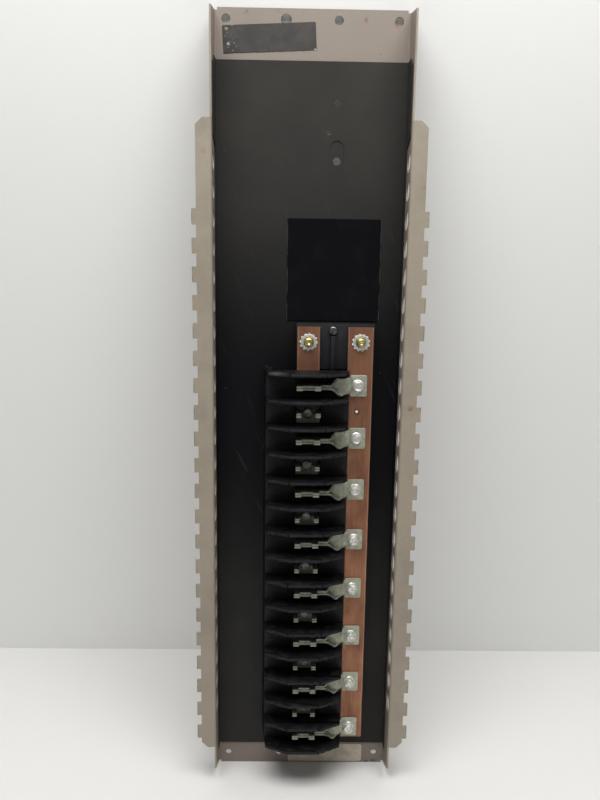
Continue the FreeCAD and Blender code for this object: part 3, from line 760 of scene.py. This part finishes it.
def add_turned(profile: Outline, steps: int) -> bpy.types.Object:
    """Turn a half section about the Y axis, as on a lathe.

    Args:
        profile: Closed half section as (radius, depth), with both its ends on the axis or off it.
        steps: Sides of the turned piece.

    Returns:
        The turned piece, centred on the Y axis.
    """
    deselect()
    bpy.ops.mesh.primitive_circle_add(vertices=len(profile), radius=1, fill_type="NOTHING")
    piece = bpy.context.active_object
    for corner, (radius, depth) in zip(piece.data.vertices, profile):
        corner.co = (radius, -depth, 0)
    bpy.ops.object.mode_set(mode="EDIT")
    bpy.ops.mesh.select_all(action="SELECT")
    bpy.ops.mesh.spin(steps=steps, angle=math.tau, center=(0, 0, 0), axis=(0, 1, 0), use_auto_merge=True)
    bpy.ops.object.mode_set(mode="OBJECT")
    tidy_shell(piece)
    return piece


def bevel_edges(piece: bpy.types.Object, test: EdgeTest, width: float, segments: int) -> None:
    """Round the edges that pass a test.

    Args:
        piece: Piece to work on.
        test: Test of an edge by its two ends, in millimetres.
        width: Width of the bevel.
        segments: Its number of facets.
    """
    take(piece)
    bpy.context.tool_settings.mesh_select_mode = (False, True, False)
    bpy.ops.object.mode_set(mode="EDIT")
    bpy.ops.mesh.select_all(action="DESELECT")
    shape = bmesh.from_edit_mesh(piece.data)
    for edge in shape.edges:
        if test(edge.verts[0].co, edge.verts[1].co):
            edge.select_set(True)
    bmesh.update_edit_mesh(piece.data)
    bpy.ops.mesh.bevel(offset=width, segments=segments, affect="EDGES")
    bpy.ops.object.mode_set(mode="OBJECT")


def run_modifier(piece: bpy.types.Object, kind: str, **settings: object) -> None:
    """Add a modifier with its settings and apply it."""
    take(piece)
    modifier = piece.modifiers.new(kind.lower(), kind)
    for name, value in settings.items():
        setattr(modifier, name, value)
    bpy.ops.object.modifier_apply(modifier=modifier.name)


def soften(piece: bpy.types.Object, width: float, segments: int = 2) -> None:
    """Round all of a piece's sharp edges."""
    run_modifier(piece, "BEVEL", width=width, segments=segments, limit_method="ANGLE",
                 angle_limit=math.radians(38))


def cut_out(piece: bpy.types.Object, cutter: bpy.types.Object) -> None:
    """Cut one piece's shape out of another and remove the cutter."""
    run_modifier(piece, "BOOLEAN", operation="DIFFERENCE", object=cutter, solver="EXACT")
    bpy.data.objects.remove(cutter)


def join(pieces: list[bpy.types.Object]) -> bpy.types.Object:
    """Join pieces into the first of them."""
    take(pieces[0])
    for piece in pieces[1:]:
        piece.select_set(True)
    bpy.ops.object.join()
    return pieces[0]


def moved_copy(piece: bpy.types.Object, shift: Point, turn: float = 0.0) -> bpy.types.Object:
    """Copy a piece with its own mesh.

    Args:
        piece: Piece to copy.
        shift: Move in millimetres along X, Y and Z.
        turn: Turn about the Y axis before the move, in degrees.

    Returns:
        The copy.
    """
    copy = piece.copy()
    copy.data = piece.data.copy()
    bpy.context.scene.collection.objects.link(copy)
    copy.data.transform(Matrix.Translation(shift) @ Matrix.Rotation(math.radians(turn), 4, "Y"))
    return copy


def rounded(points: Outline, radii: list[float], steps: int = 4) -> Outline:
    """Round an outline's corners.

    Args:
        points: Corners in order.
        radii: Radius of each corner, none where it is 0.
        steps: Points of each arc beyond its first.

    Returns:
        The outline with arcs.
    """
    made: Outline = []
    for i, corner in enumerate(points):
        here = Vector(corner)
        if radii[i] <= 0:
            made.append(tuple(here))
            continue
        before = (Vector(points[i - 1]) - here).normalized()
        after = (Vector(points[(i + 1) % len(points)]) - here).normalized()
        half = before.angle(after) / 2
        reach = radii[i] / math.tan(half)
        centre = here + (before + after).normalized() * (radii[i] / math.sin(half))
        start = here + before * reach - centre
        stop = here + after * reach - centre
        for step in range(steps + 1):
            share = step / steps
            arm = start.lerp(stop, share).normalized() * radii[i]
            made.append(tuple(centre + arm))
    return made


class Smooth(Enum):
    """Angle in degrees below which neighbouring faces shade as one."""

    CRISP = 35.0
    FOLDED = 42.0
    TURNED = 50.0


def settle(piece: bpy.types.Object, name: str, finish: Finish, nodes: list[str],
           smooth: Smooth = Smooth.CRISP) -> None:
    """Bring a finished piece to metres, dress it and let it stand for its nodes.

    Args:
        piece: Piece in millimetres.
        name: Its name.
        finish: Its finish.
        nodes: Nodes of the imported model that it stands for.
        smooth: How its faces shade.
    """
    piece.name = name
    piece.data.name = name
    piece.data.transform(Matrix.Scale(MM, 4))
    piece.data.materials.clear()
    piece.data.materials.append(finish.material())
    take(piece)
    bpy.ops.object.shade_smooth_by_angle(angle=math.radians(smooth.value))
    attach(piece, "root")
    if nodes:
        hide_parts(*nodes)
    log.info("built %s in %s", name, finish.name)


def dress(node: str, finish: Finish) -> None:
    """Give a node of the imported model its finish.

    Args:
        node: Name of the node.
        finish: Finish for all of its faces.
    """
    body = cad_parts[node]
    material = finish.material()
    if not body.material_slots:
        body.data.materials.append(material)
    for slot in body.material_slots:
        slot.material = material
    log.info("dressed %s in %s", node, finish.name)


# Sub-assemblies, with the part's own sizes in millimetres

@dataclass(frozen=True)
class Layout:
    """Places that every piece over the pan is set from."""

    pitch: float = 19.05
    first_pole: float = 29.7
    sheet: float = 1.2
    liner_front: float = 2.0
    bar_back: float = 15.0
    bar_front: float = 18.2
    left_bar_x: float = 0.3
    right_bar_x: float = 36.9
    right_screw_x: float = 35.3
    stab_sheet: float = 1.5
    stud_z: float = 60.2

    def pole_z(self, index: int) -> float:
        """Height of a pole, counted down from the first."""
        return self.first_pole - index * self.pitch


@dataclass
class SubAssembly:
    """Pieces that are built and dressed together."""

    at: Layout

    def build(self) -> None:
        """Build and dress the pieces."""
        raise NotImplementedError


@dataclass
class FoldedPan(SubAssembly):
    """Folded steel pan with its bare name plate and its bare paper label."""

    plate_middle: tuple[float, float] = (-28.9, 262.4)
    plate_half: tuple[float, float] = (31.35, 8.9)
    plate_thickness: float = 0.3
    plate_turn: float = 2.9
    wear_step: float = 1.4
    wear: float = 0.3

    def build(self) -> None:
        """Dress the pan and the label, and model the plate."""
        dress("back_pan", ENAMEL)
        dress("lower_label", PAPER)
        settle(self.worn_plate(), "bare_name_plate", PLATE, ["rating_plate"])

    def worn_plate(self) -> bpy.types.Object:
        """Model the foil plate with a slightly torn lower edge."""
        chance = random.Random(5)
        half_length, half_height = self.plate_half
        steps = round(2 * half_length / self.wear_step)
        outline = [(half_length - 2 * half_length * i / steps, -half_height + chance.uniform(0, self.wear))
                   for i in range(steps + 1)]
        outline += [(-half_length, half_height - 0.6), (-half_length + 0.5, half_height),
                    (half_length - 0.7, half_height), (half_length, half_height - 0.5)]
        turn = math.radians(self.plate_turn)
        middle_x, middle_z = self.plate_middle
        placed = [(middle_x + u * math.cos(turn) - v * math.sin(turn),
                   middle_z + u * math.sin(turn) + v * math.cos(turn)) for u, v in outline]
        plate = add_prism(placed, self.at.sheet, self.at.sheet + self.plate_thickness, Draw.FORWARD)
        soften(plate, 0.08, 1)
        return plate


@dataclass
class Insulation(SubAssembly):
    """Fibre liner with turned-up sides, and the glossy film over it."""

    def build(self) -> None:
        """Dress the liner and the film."""
        dress("floor_liner", FIBRE)
        dress("main_breaker_pad", FILM)


@dataclass
class BusBars(SubAssembly):
    """Two copper bars, and the rivet end that shows in the right bar's spare hole, near-white as a painted
    highlight.
    """

    pin_radius: float = 1.15
    pin_back: float = 15.4
    pin_front: float = 18.15
    pin_offset: tuple[float, float] = (-0.1, 0.05)

    def build(self) -> None:
        """Dress the bars and model the rivet end."""
        dress("left_bus_bar", COPPER)
        dress("right_bus_bar", COPPER)
        r = self.pin_radius
        front = self.pin_front
        profile = [(0, self.pin_back), (r, self.pin_back), (r, front - 0.45), (r - 0.15, front - 0.15),
                   (r - 0.45, front), (0, front)]
        end = add_turned(profile, 24)
        aside, up = self.pin_offset
        end.data.transform(Matrix.Translation((self.at.right_screw_x + aside, 0, self.at.pole_z(1) + up)))
        settle(end, "spare_hole_rivet_end", HIGHLIT_RIVET, [], Smooth.TURNED)


@dataclass
class Standoffs(SubAssembly):
    """Moulded blocks that carry the bars, with their screws."""

    left: float = -8.5
    right: float = 46.7
    top: float = 72.9
    bottom: float = 40.525
    screw_x: float = 17.3
    rib_width: float = 3.2
    rib_rise: float = 2.2
    rib_from_end: float = 8.5

    def build(self) -> None:
        """Model the block at the bars' feeder end and dress the hidden ones."""
        body = add_block((self.left, self.at.liner_front, self.bottom),
                         (self.right, self.at.bar_back, self.top))
        soften(body, 0.6)
        rib = add_block((self.screw_x - self.rib_width / 2, self.at.bar_back - 0.5, self.bottom),
                        (self.screw_x + self.rib_width / 2, self.at.bar_back + self.rib_rise,
                         self.top - self.rib_from_end))
        soften(rib, 0.45)
        settle(join([body, rib]), "feeder_end_block", PHENOLIC, ["end_standoff"])
        for number in range(1, 5):
            dress(f"bar_standoff_{number}", PHENOLIC)
        dress("standoff_screws", BLACK_STEEL)


@dataclass
class BarrierColumn(SubAssembly):
    """Eight phenolic blocks, each a floor over the left bar with two crowned barriers."""

    count: int = 8
    foot: float = 31.5
    shoulder: float = 28.0
    thickness: float = 2.2
    end_rise: float = 13.0
    crown_rise: float = 21.0
    crown_half: float = 12.0
    crown_round: float = 4.0
    end_round: float = 1.8
    edge_round: float = 0.65
    wear_step: float = 1.3
    ripple: float = 0.4
    chip: float = 0.7
    chip_share: float = 0.14
    floor_rise: float = 2.0
    skirt: float = 2.4
    skirt_foot: float = 6.5
    gap: float = 0.2
    boss_half: float = 9.5
    boss_tip_half: float = 7.0
    boss_length: float = 5.4
    boss_rise: float = 8.0
    arch_radius: float = 5.2
    seeds: tuple[int, int] = (3, 8)
    right_opening: tuple[float, float] = (17.8, 7.05)
    left_opening: tuple[float, float, float, float] = (-8.2, 9.4, -8.3, 5.2)
    rest_left: float = -7.8
    rest_right: float = 15.5
    rest_half: float = 2.6

    def build(self) -> None:
        """Model a whole block and the last one, and copy the first down the column."""
        whole = self.block(last=False)
        pieces = [moved_copy(whole, (0, 0, self.at.pole_z(2 * index))) for index in range(self.count - 1)]
        bpy.data.objects.remove(whole)
        end = self.block(last=True)
        end.data.transform(Matrix.Translation((0, 0, self.at.pole_z(2 * self.count - 2))))
        for number, piece in enumerate([*pieces, end], 1):
            settle(piece, f"moulded_barrier_{number}", PHENOLIC,
                   [f"barrier_block_{number}"])

    def side_at(self, depth: float) -> float:
        """Half width at a depth, from the leaning side."""
        full = self.at.bar_front + self.end_rise - self.at.liner_front
        return self.foot - (self.foot - self.shoulder) * (depth - self.at.liner_front) / full

    def block(self, last: bool) -> bpy.types.Object:
        """Model one block about its right stab's height.

        Args:
            last: Whether it ends below its second barrier.

        Returns:
            The block.
        """
        half = self.at.pitch / 2
        high = half + self.thickness / 2
        low = -high if last else high - 2 * self.at.pitch + self.gap
        upper_seed, lower_seed = self.seeds
        parts = [self.floor(low, high, last), self.barrier(half, upper_seed), self.barrier(-half, lower_seed),
                 self.blade_rest()]
        if not last:
            parts.append(self.screw_boss(-half - self.thickness / 2))
        return join(parts)

    def barrier(self, middle: float, seed: int) -> bpy.types.Object:
        """Model one crowned barrier with a rounded, chipped front edge."""
        end = self.at.bar_front + self.end_rise
        crown = self.at.bar_front + self.crown_rise
        inner = self.foot - self.skirt_foot
        corners = [(-self.foot, self.at.liner_front), (-self.shoulder, end), (-self.crown_half, crown),
                   (self.crown_half, crown), (self.shoulder, end),
                   (self.side_at(self.at.bar_front), self.at.bar_front),
                   (-inner, self.at.bar_front), (-inner, self.at.liner_front)]
        radii = [0, self.end_round, self.crown_round, self.crown_round, self.end_round, 0, 0, 0]
        outline = self.worn(rounded(corners, radii, 5), seed)
        plate = add_prism(outline, middle - self.thickness / 2, middle + self.thickness / 2, Draw.UP)
        front = -(self.at.bar_front + 3)
        bevel_edges(plate, lambda a, b: max(a.y, b.y) < front and abs(a.z - b.z) < 0.01, self.edge_round, 2)
        return plate

    def worn(self, outline: Outline, seed: int) -> Outline:
        """Divide an outline's front finely and chip it.

        Args:
            outline: Barrier's outline as (x, depth).
            seed: Seed of the chips.

        Returns:
            The worn outline.
        """
        chance = random.Random(seed)
        front = self.at.bar_front + 4
        made: Outline = []
        for i, start in enumerate(outline):
            stop = outline[(i + 1) % len(outline)]
            steps = 1
            if min(start[1], stop[1]) > front:
                steps = max(1, round(math.dist(start, stop) / self.wear_step))
            for step in range(steps):
                x = start[0] + (stop[0] - start[0]) * step / steps
                depth = start[1] + (stop[1] - start[1]) * step / steps
                if depth > front:
                    depth -= chance.uniform(0, self.ripple)
                    depth -= self.chip if chance.random() < self.chip_share else 0
                made.append((x, depth))
        return made

    def floor(self, low: float, high: float, last: bool) -> bpy.types.Object:
        """Model the floor and its skirt, with the openings for both kinds of stab."""
        front = self.at.bar_front + self.floor_rise
        near = self.side_at(self.at.bar_front)
        section = [(-self.foot, self.at.liner_front), (-self.side_at(front), front),
                   (self.side_at(front), front), (near, self.at.bar_front),
                   (self.skirt - near, self.at.bar_front), (self.skirt - self.foot, self.at.liner_front)]
        floor = add_prism(section, low, high, Draw.UP)
        start, half = self.right_opening
        cut_out(floor, add_block((start, self.at.bar_front - 1, -half), (self.foot, front + 1, half)))
        if not last:
            below = -self.at.pitch
            left, right, under, over = self.left_opening
            cut_out(floor, add_block((left, self.at.bar_front - 1, below + under),
                                     (right, front + 1, below + over)))
            cut_out(floor, self.arch_cutter(below))
        soften(floor, 0.3)
        return floor

    def arch_cutter(self, screw_z: float) -> bpy.types.Object:
        """Round cutter that clears the left screw's flange."""
        ring = [(self.at.left_bar_x + self.arch_radius * math.cos(math.tau * i / 32),
                 screw_z + self.arch_radius * math.sin(math.tau * i / 32)) for i in range(32)]
        return add_prism(ring, self.at.bar_front - 1, self.at.bar_front + 14, Draw.FORWARD)

    def blade_rest(self) -> bpy.types.Object:
        """Model the rib that the right stab's blade rests on."""
        rest = add_block((self.rest_left, self.at.bar_front + 1.9, -self.rest_half),
                         (self.rest_right, self.at.bar_front + 3.5, self.rest_half))
        soften(rest, 0.25)
        return rest

    def screw_boss(self, top: float) -> bpy.types.Object:
        """Model the wedge under a barrier that arches over the left screw."""
        x = self.at.left_bar_x
        front = self.at.bar_front + self.floor_rise
        outline = [(x - self.boss_half, top), (x - self.boss_tip_half, top - self.boss_length),
                   (x + self.boss_tip_half, top - self.boss_length), (x + self.boss_half, top)]
        boss = add_prism(outline, front - 0.5, front + self.boss_rise, Draw.FORWARD)
        cut_out(boss, self.arch_cutter(-self.at.pitch))
        soften(boss, 0.4)
        return boss


@dataclass
class Stabs(SubAssembly):
    """Tinned stabs: eight pinched ones from the right bar and seven upright ones on the left bar."""

    right_count: int = 8
    left_count: int = 7
    seam: float = 0.3
    blade_lift: float = 3.5
    blade_left: float = -7.8
    blade_right: float = 9.0
    horn_width: float = 4.2
    horn_rise: float = 15.5
    middle_rise: float = 13.0
    shank_rise: float = 10.3
    pinched_at: float = 15.5
    spread_at: float = 20.5
    lower_spread_later: float = 2.0
    neck_top: float = 24.0
    neck_half: float = 5.9
    lip_rise: float = 1.9
    lip_bulge: float = 1.5
    lip_bulge_x: float = 23.0
    lip_bulge_half: float = 1.9
    fold_radius: float = 0.9
    tab_left: float = 29.7
    tab_right: float = 41.9
    tab_half: float = 7.6
    tab_round: float = 1.2
    ear_width: float = 3.4
    base_low: float = -7.9
    base_high: float = -1.6
    tongue_half: float = 4.6
    tongue_top: float = 4.8

    def build(self) -> None:
        """Model one stab of each kind and copy it to its places."""
        right = self.right_stab()
        for index in range(self.right_count):
            copy = moved_copy(right, (0, 0, self.at.pole_z(2 * index)))
            settle(copy, f"pinched_stab_{index + 1}", TIN, [f"right_stab_{index + 1}"],
                   Smooth.FOLDED)
        bpy.data.objects.remove(right)
        left = self.left_stab()
        for index in range(self.left_count):
            copy = moved_copy(left, (0, 0, self.at.pole_z(2 * index + 1)))
            settle(copy, f"upright_stab_{index + 1}", TIN, [f"left_stab_{index + 1}"])
        bpy.data.objects.remove(left)

    def crest(self, x: float) -> float:
        """Height of the folded blade's top above the bars at a place along it."""
        outer = self.blade_right - self.horn_width
        if x <= self.blade_left + self.horn_width or outer <= x <= self.blade_right:
            return self.horn_rise
        return self.middle_rise if x < self.blade_right else self.shank_rise

    def section(self, x: float, lower: bool) -> Outline:
        """Half of the folded strip's middle line at a place along it.

        Args:
            x: Place along the stab.
            lower: Whether it is the lower half.

        Returns:
            Points as (distance from the middle, depth), from the middle of the floor to the lip.
        """
        sheet = self.at.stab_sheet
        leaf = (self.seam + sheet) / 2
        climb = min(1.0, max(0.0, (self.tab_left - x) / (self.tab_left - self.neck_top)))
        floor = self.at.bar_front + sheet / 2 + self.blade_lift * climb * climb * (3 - 2 * climb)
        spread_at = self.spread_at + (self.lower_spread_later if lower else 0)
        pinch = min(1.0, max(0.0, (spread_at - x) / (spread_at - self.pinched_at)))
        pinch = pinch * pinch * (3 - 2 * pinch)
        bulge = math.exp(-((x - self.lip_bulge_x) / self.lip_bulge_half) ** 2) if lower else 0.0
        half = (self.neck_half - sheet / 2 + 0.5 * bulge) * (1 - pinch) + leaf * pinch
        lip = self.lip_rise * climb + 0.05 + self.lip_bulge * bulge
        crest = self.at.bar_front + self.crest(x) - floor - 0.1
        height = lip * (1 - pinch) + crest * pinch
        bend = min(self.fold_radius, half)
        points = [(0.0, floor), ((half - bend) * 0.5, floor), (half - bend, floor)]
        for step in (1, 2, 3):
            angle = math.radians(30 * step)
            rise = (bend - bend * math.cos(angle)) * min(1.0, height / bend)
            points.append((half - bend + bend * math.sin(angle), floor + rise))
        for share in (0.4, 0.7, 1.0):
            points.append((half, floor + min(bend, height) + max(0.0, height - bend) * share))
        return points

    def right_stab(self) -> bpy.types.Object:
        """Model the strip that is pinched into a blade, and the screwed tab at its end."""
        inner = self.blade_left + self.horn_width
        outer = self.blade_right - self.horn_width
        step = 0.02
        stations = [self.blade_left, self.blade_left + 0.7, inner - 0.7, inner, inner + step,
                    (inner + outer) / 2, outer - step, outer, outer + 0.7, self.blade_right - 0.7,
                    self.blade_right,
                    self.blade_right + 0.3, self.blade_right + 2, 13.4, self.pinched_at]
        stations += [self.pinched_at + 0.7 * i for i in range(1, 20)]
        stations.append(self.tab_left + 0.4)
        across = 2 * len(self.section(0.0, False)) - 2
        deselect()
        bpy.ops.mesh.primitive_grid_add(x_subdivisions=len(stations) - 1, y_subdivisions=across, size=2)
        strip = bpy.context.active_object
        for corner in strip.data.vertices:
            column = round((corner.co.x + 1) / 2 * (len(stations) - 1))
            row = round((corner.co.y + 1) / 2 * across) - across // 2
            aside, depth = self.section(stations[column], row < 0)[abs(row)]
            corner.co = (stations[column], -depth, math.copysign(aside, row) if row else 0.0)
        run_modifier(strip, "SOLIDIFY", thickness=self.at.stab_sheet - 0.04, offset=0)
        tidy_shell(strip)
        soften(strip, 0.22)
        left, right, half = self.tab_left, self.tab_right, self.tab_half
        corners = rounded([(left, -half), (right, -half), (right, half), (left, half)], [self.tab_round] * 4)
        tab = add_prism(corners, self.at.bar_front, self.at.bar_front + self.at.stab_sheet, Draw.FORWARD)
        soften(tab, 0.3)
        return join([strip, tab])

    def left_stab(self) -> bpy.types.Object:
        """Model a base plate with a tongue under the screw and a folded ear at each end."""
        x = self.at.left_bar_x
        under = self.at.bar_front
        low, high = self.base_low, self.base_high
        outline = rounded([(self.blade_left, low), (self.blade_right, low), (self.blade_right, high),
                           (x + self.tongue_half, high), (x + self.tongue_half, self.tongue_top),
                           (x - self.tongue_half, self.tongue_top), (x - self.tongue_half, high),
                           (self.blade_left, high)], [0.8, 0.8, 0, 0, 1.5, 1.5, 0, 0])
        base = add_prism(outline, under, under + self.at.stab_sheet, Draw.FORWARD)
        soften(base, 0.25)
        parts = [base]
        top = under + self.horn_rise
        for near in (self.blade_left, self.blade_right - self.ear_width):
            for side in (-1, 1):
                inner = side * self.seam / 2
                low, high = sorted((inner, inner + side * self.at.stab_sheet))
                leaf = add_block((near, under + 0.2, low), (near + self.ear_width, top, high))
                bevel_edges(leaf, lambda a, b: max(a.y, b.y) < 0.5 - top, 0.5, 3)
                parts.append(leaf)
        return join(parts)


@dataclass
class Fasteners(SubAssembly):
    """Hexagon screws of the stabs, and the feeder studs with their toothed washers."""

    across_flats: float = 6.35
    hex_height: float = 3.4
    hex_chamfer: float = 0.5
    flange_radius: float = 4.5
    flange_thickness: float = 0.8
    shank_radius: float = 2.0
    shank_end: float = 13.0
    stud_radius: float = 3.175
    stud_shoulder: float = 3.4
    stud_rise: float = 4.0
    dome: float = 1.3
    dimple_radius: float = 1.3
    dimple_depth: float = 0.8
    washer_thickness: float = 0.9
    washer_ring: float = 5.6
    washer_outer: float = 6.4
    teeth: int = 12
    tooth_half: float = 0.95
    tooth_taper: float = 0.72
    twist: float = 14.0
    right_count: int = 8
    left_count: int = 7
    right_turn: float = 17.0
    left_turn: float = 23.0
    washer_turns: tuple[float, float] = (4.0, 19.0)

    def build(self) -> None:
        """Model each kind once and copy it to its places."""
        screw = self.hex_screw()
        right = [moved_copy(screw, (self.at.right_screw_x, 0, self.at.pole_z(2 * i)), self.right_turn * i)
                 for i in range(self.right_count)]
        left = [moved_copy(screw, (self.at.left_bar_x, 0, self.at.pole_z(2 * i + 1)), self.left_turn * i)
                for i in range(self.left_count)]
        bpy.data.objects.remove(screw)
        settle(join(right), "right_hex_screws", ZINC, ["right_stab_screws"])
        settle(join(left), "left_hex_screws", SHADED_ZINC, ["left_stab_screws"])
        stud = self.stud()
        for side, x in (("left", self.at.left_bar_x), ("right", self.at.right_bar_x)):
            copy = moved_copy(stud, (x, 0, self.at.stud_z))
            settle(copy, f"{side}_domed_stud", BRASS, [f"{side}_feeder_stud"], Smooth.TURNED)
        bpy.data.objects.remove(stud)
        washer = self.washer()
        pair = [moved_copy(washer, (x, 0, self.at.stud_z), turn)
                for x, turn in zip((self.at.left_bar_x, self.at.right_bar_x), self.washer_turns)]
        bpy.data.objects.remove(washer)
        settle(join(pair), "toothed_washers", ZINC, ["feeder_lock_washers"])

    def hex_screw(self) -> bpy.types.Object:
        """Model a screw with a chamfered hexagon head, dished on top, over a coned flange."""
        corner = self.across_flats / math.sqrt(3)
        seat = self.at.bar_front + self.at.stab_sheet
        flange_top = seat + self.flange_thickness
        radius = self.flange_radius
        flange = add_turned([(0, seat), (radius, seat), (radius, seat + 0.35),
                             (radius - 0.25, flange_top - 0.1), (corner - 0.2, flange_top + 0.25),
                             (0, flange_top + 0.25)], 40)
        ring = [(corner * math.cos(math.tau * i / 6), corner * math.sin(math.tau * i / 6)) for i in range(6)]
        head = add_prism(ring, flange_top, flange_top + self.hex_height, Draw.FORWARD)
        rim = 0.01 - (flange_top + self.hex_height)
        bevel_edges(head, lambda a, b: max(a.y, b.y) < rim, self.hex_chamfer, 2)
        self.dish(head)
        soften(head, 0.12)
        r = self.shank_radius
        shank = add_turned([(0, self.shank_end), (r - 0.3, self.shank_end), (r, self.shank_end + 0.3),
                            (r, seat), (0, seat)], 24)
        return join([flange, head, shank])

    def dish(self, head: bpy.types.Object) -> None:
        """Sink the middle of a screw head's front face."""
        take(head)
        bpy.context.tool_settings.mesh_select_mode = (False, False, True)
        bpy.ops.object.mode_set(mode="EDIT")
        bpy.ops.mesh.select_all(action="DESELECT")
        shape = bmesh.from_edit_mesh(head.data)
        front = min(shape.faces, key=lambda face: face.calc_center_median().y)
        front.select_set(True)
        bmesh.update_edit_mesh(head.data)
        bpy.ops.mesh.inset(thickness=0.75)
        bpy.ops.transform.translate(value=(0, 0.6, 0))
        bpy.ops.object.mode_set(mode="OBJECT")

    def stud(self) -> bpy.types.Object:
        """Model a domed stud with a dimple and three shallow thread grooves."""
        seat = self.at.bar_front + self.washer_thickness
        front = seat + self.stud_rise
        r = self.stud_radius
        profile = [(0, self.at.bar_back), (self.stud_shoulder, self.at.bar_back),
                   (self.stud_shoulder, seat), (r, seat)]
        for step in range(3):
            groove = seat + 0.35 + step * 0.75
            profile += [(r, groove), (r - 0.35, groove + 0.3), (r, groove + 0.6)]
        for step in range(6):
            angle = math.radians(18 * step)
            profile.append((r - self.dome + self.dome * math.cos(angle),
                            front - self.dome + self.dome * math.sin(angle)))
        rim = self.dimple_radius
        profile += [(rim + 0.15, front), (rim - 0.1, front - 0.12),
                    (rim * 0.5, front - self.dimple_depth * 0.6), (0, front - self.dimple_depth)]
        return add_turned(profile, 40)

    def washer(self) -> bpy.types.Object:
        """Model a lock washer: a flat ring with twisted teeth."""
        under = self.at.bar_front
        over = under + self.washer_thickness
        ring = add_turned([(3.5, under), (self.washer_ring, under), (self.washer_ring + 0.1, under + 0.2),
                           (self.washer_ring, over - 0.1), (self.washer_ring - 0.2, over), (3.7, over),
                           (3.5, over - 0.15)], 48)
        middle = under + self.washer_thickness / 2
        tooth = add_block((self.washer_ring - 0.4, middle - 0.25, -self.tooth_half),
                          (self.washer_outer, middle + 0.25, self.tooth_half))
        centre = Matrix.Translation((0, -middle, 0))
        tilt = Matrix.Rotation(math.radians(self.twist), 4, "X")
        tooth.data.transform(centre @ tilt @ centre.inverted())
        for corner in tooth.data.vertices:
            if corner.co.x > self.washer_outer - 0.1:
                corner.co.z *= self.tooth_taper
        soften(tooth, 0.1, 1)
        teeth = [moved_copy(tooth, (0, 0, 0), 360 * i / self.teeth) for i in range(self.teeth)]
        bpy.data.objects.remove(tooth)
        return join([ring, *teeth])


def main() -> None:
    """Build the stage and the part's sub-assemblies in order."""
    logging.basicConfig(level=logging.INFO, format="%(message)s")
    Studio().build()
    layout = Layout()
    for assembly in (FoldedPan(layout), Insulation(layout), BusBars(layout), Standoffs(layout),
                     BarrierColumn(layout), Stabs(layout), Fasteners(layout)):
        log.info("building %s", type(assembly).__name__)
        assembly.build()


if __name__ == "__main__":
    main()
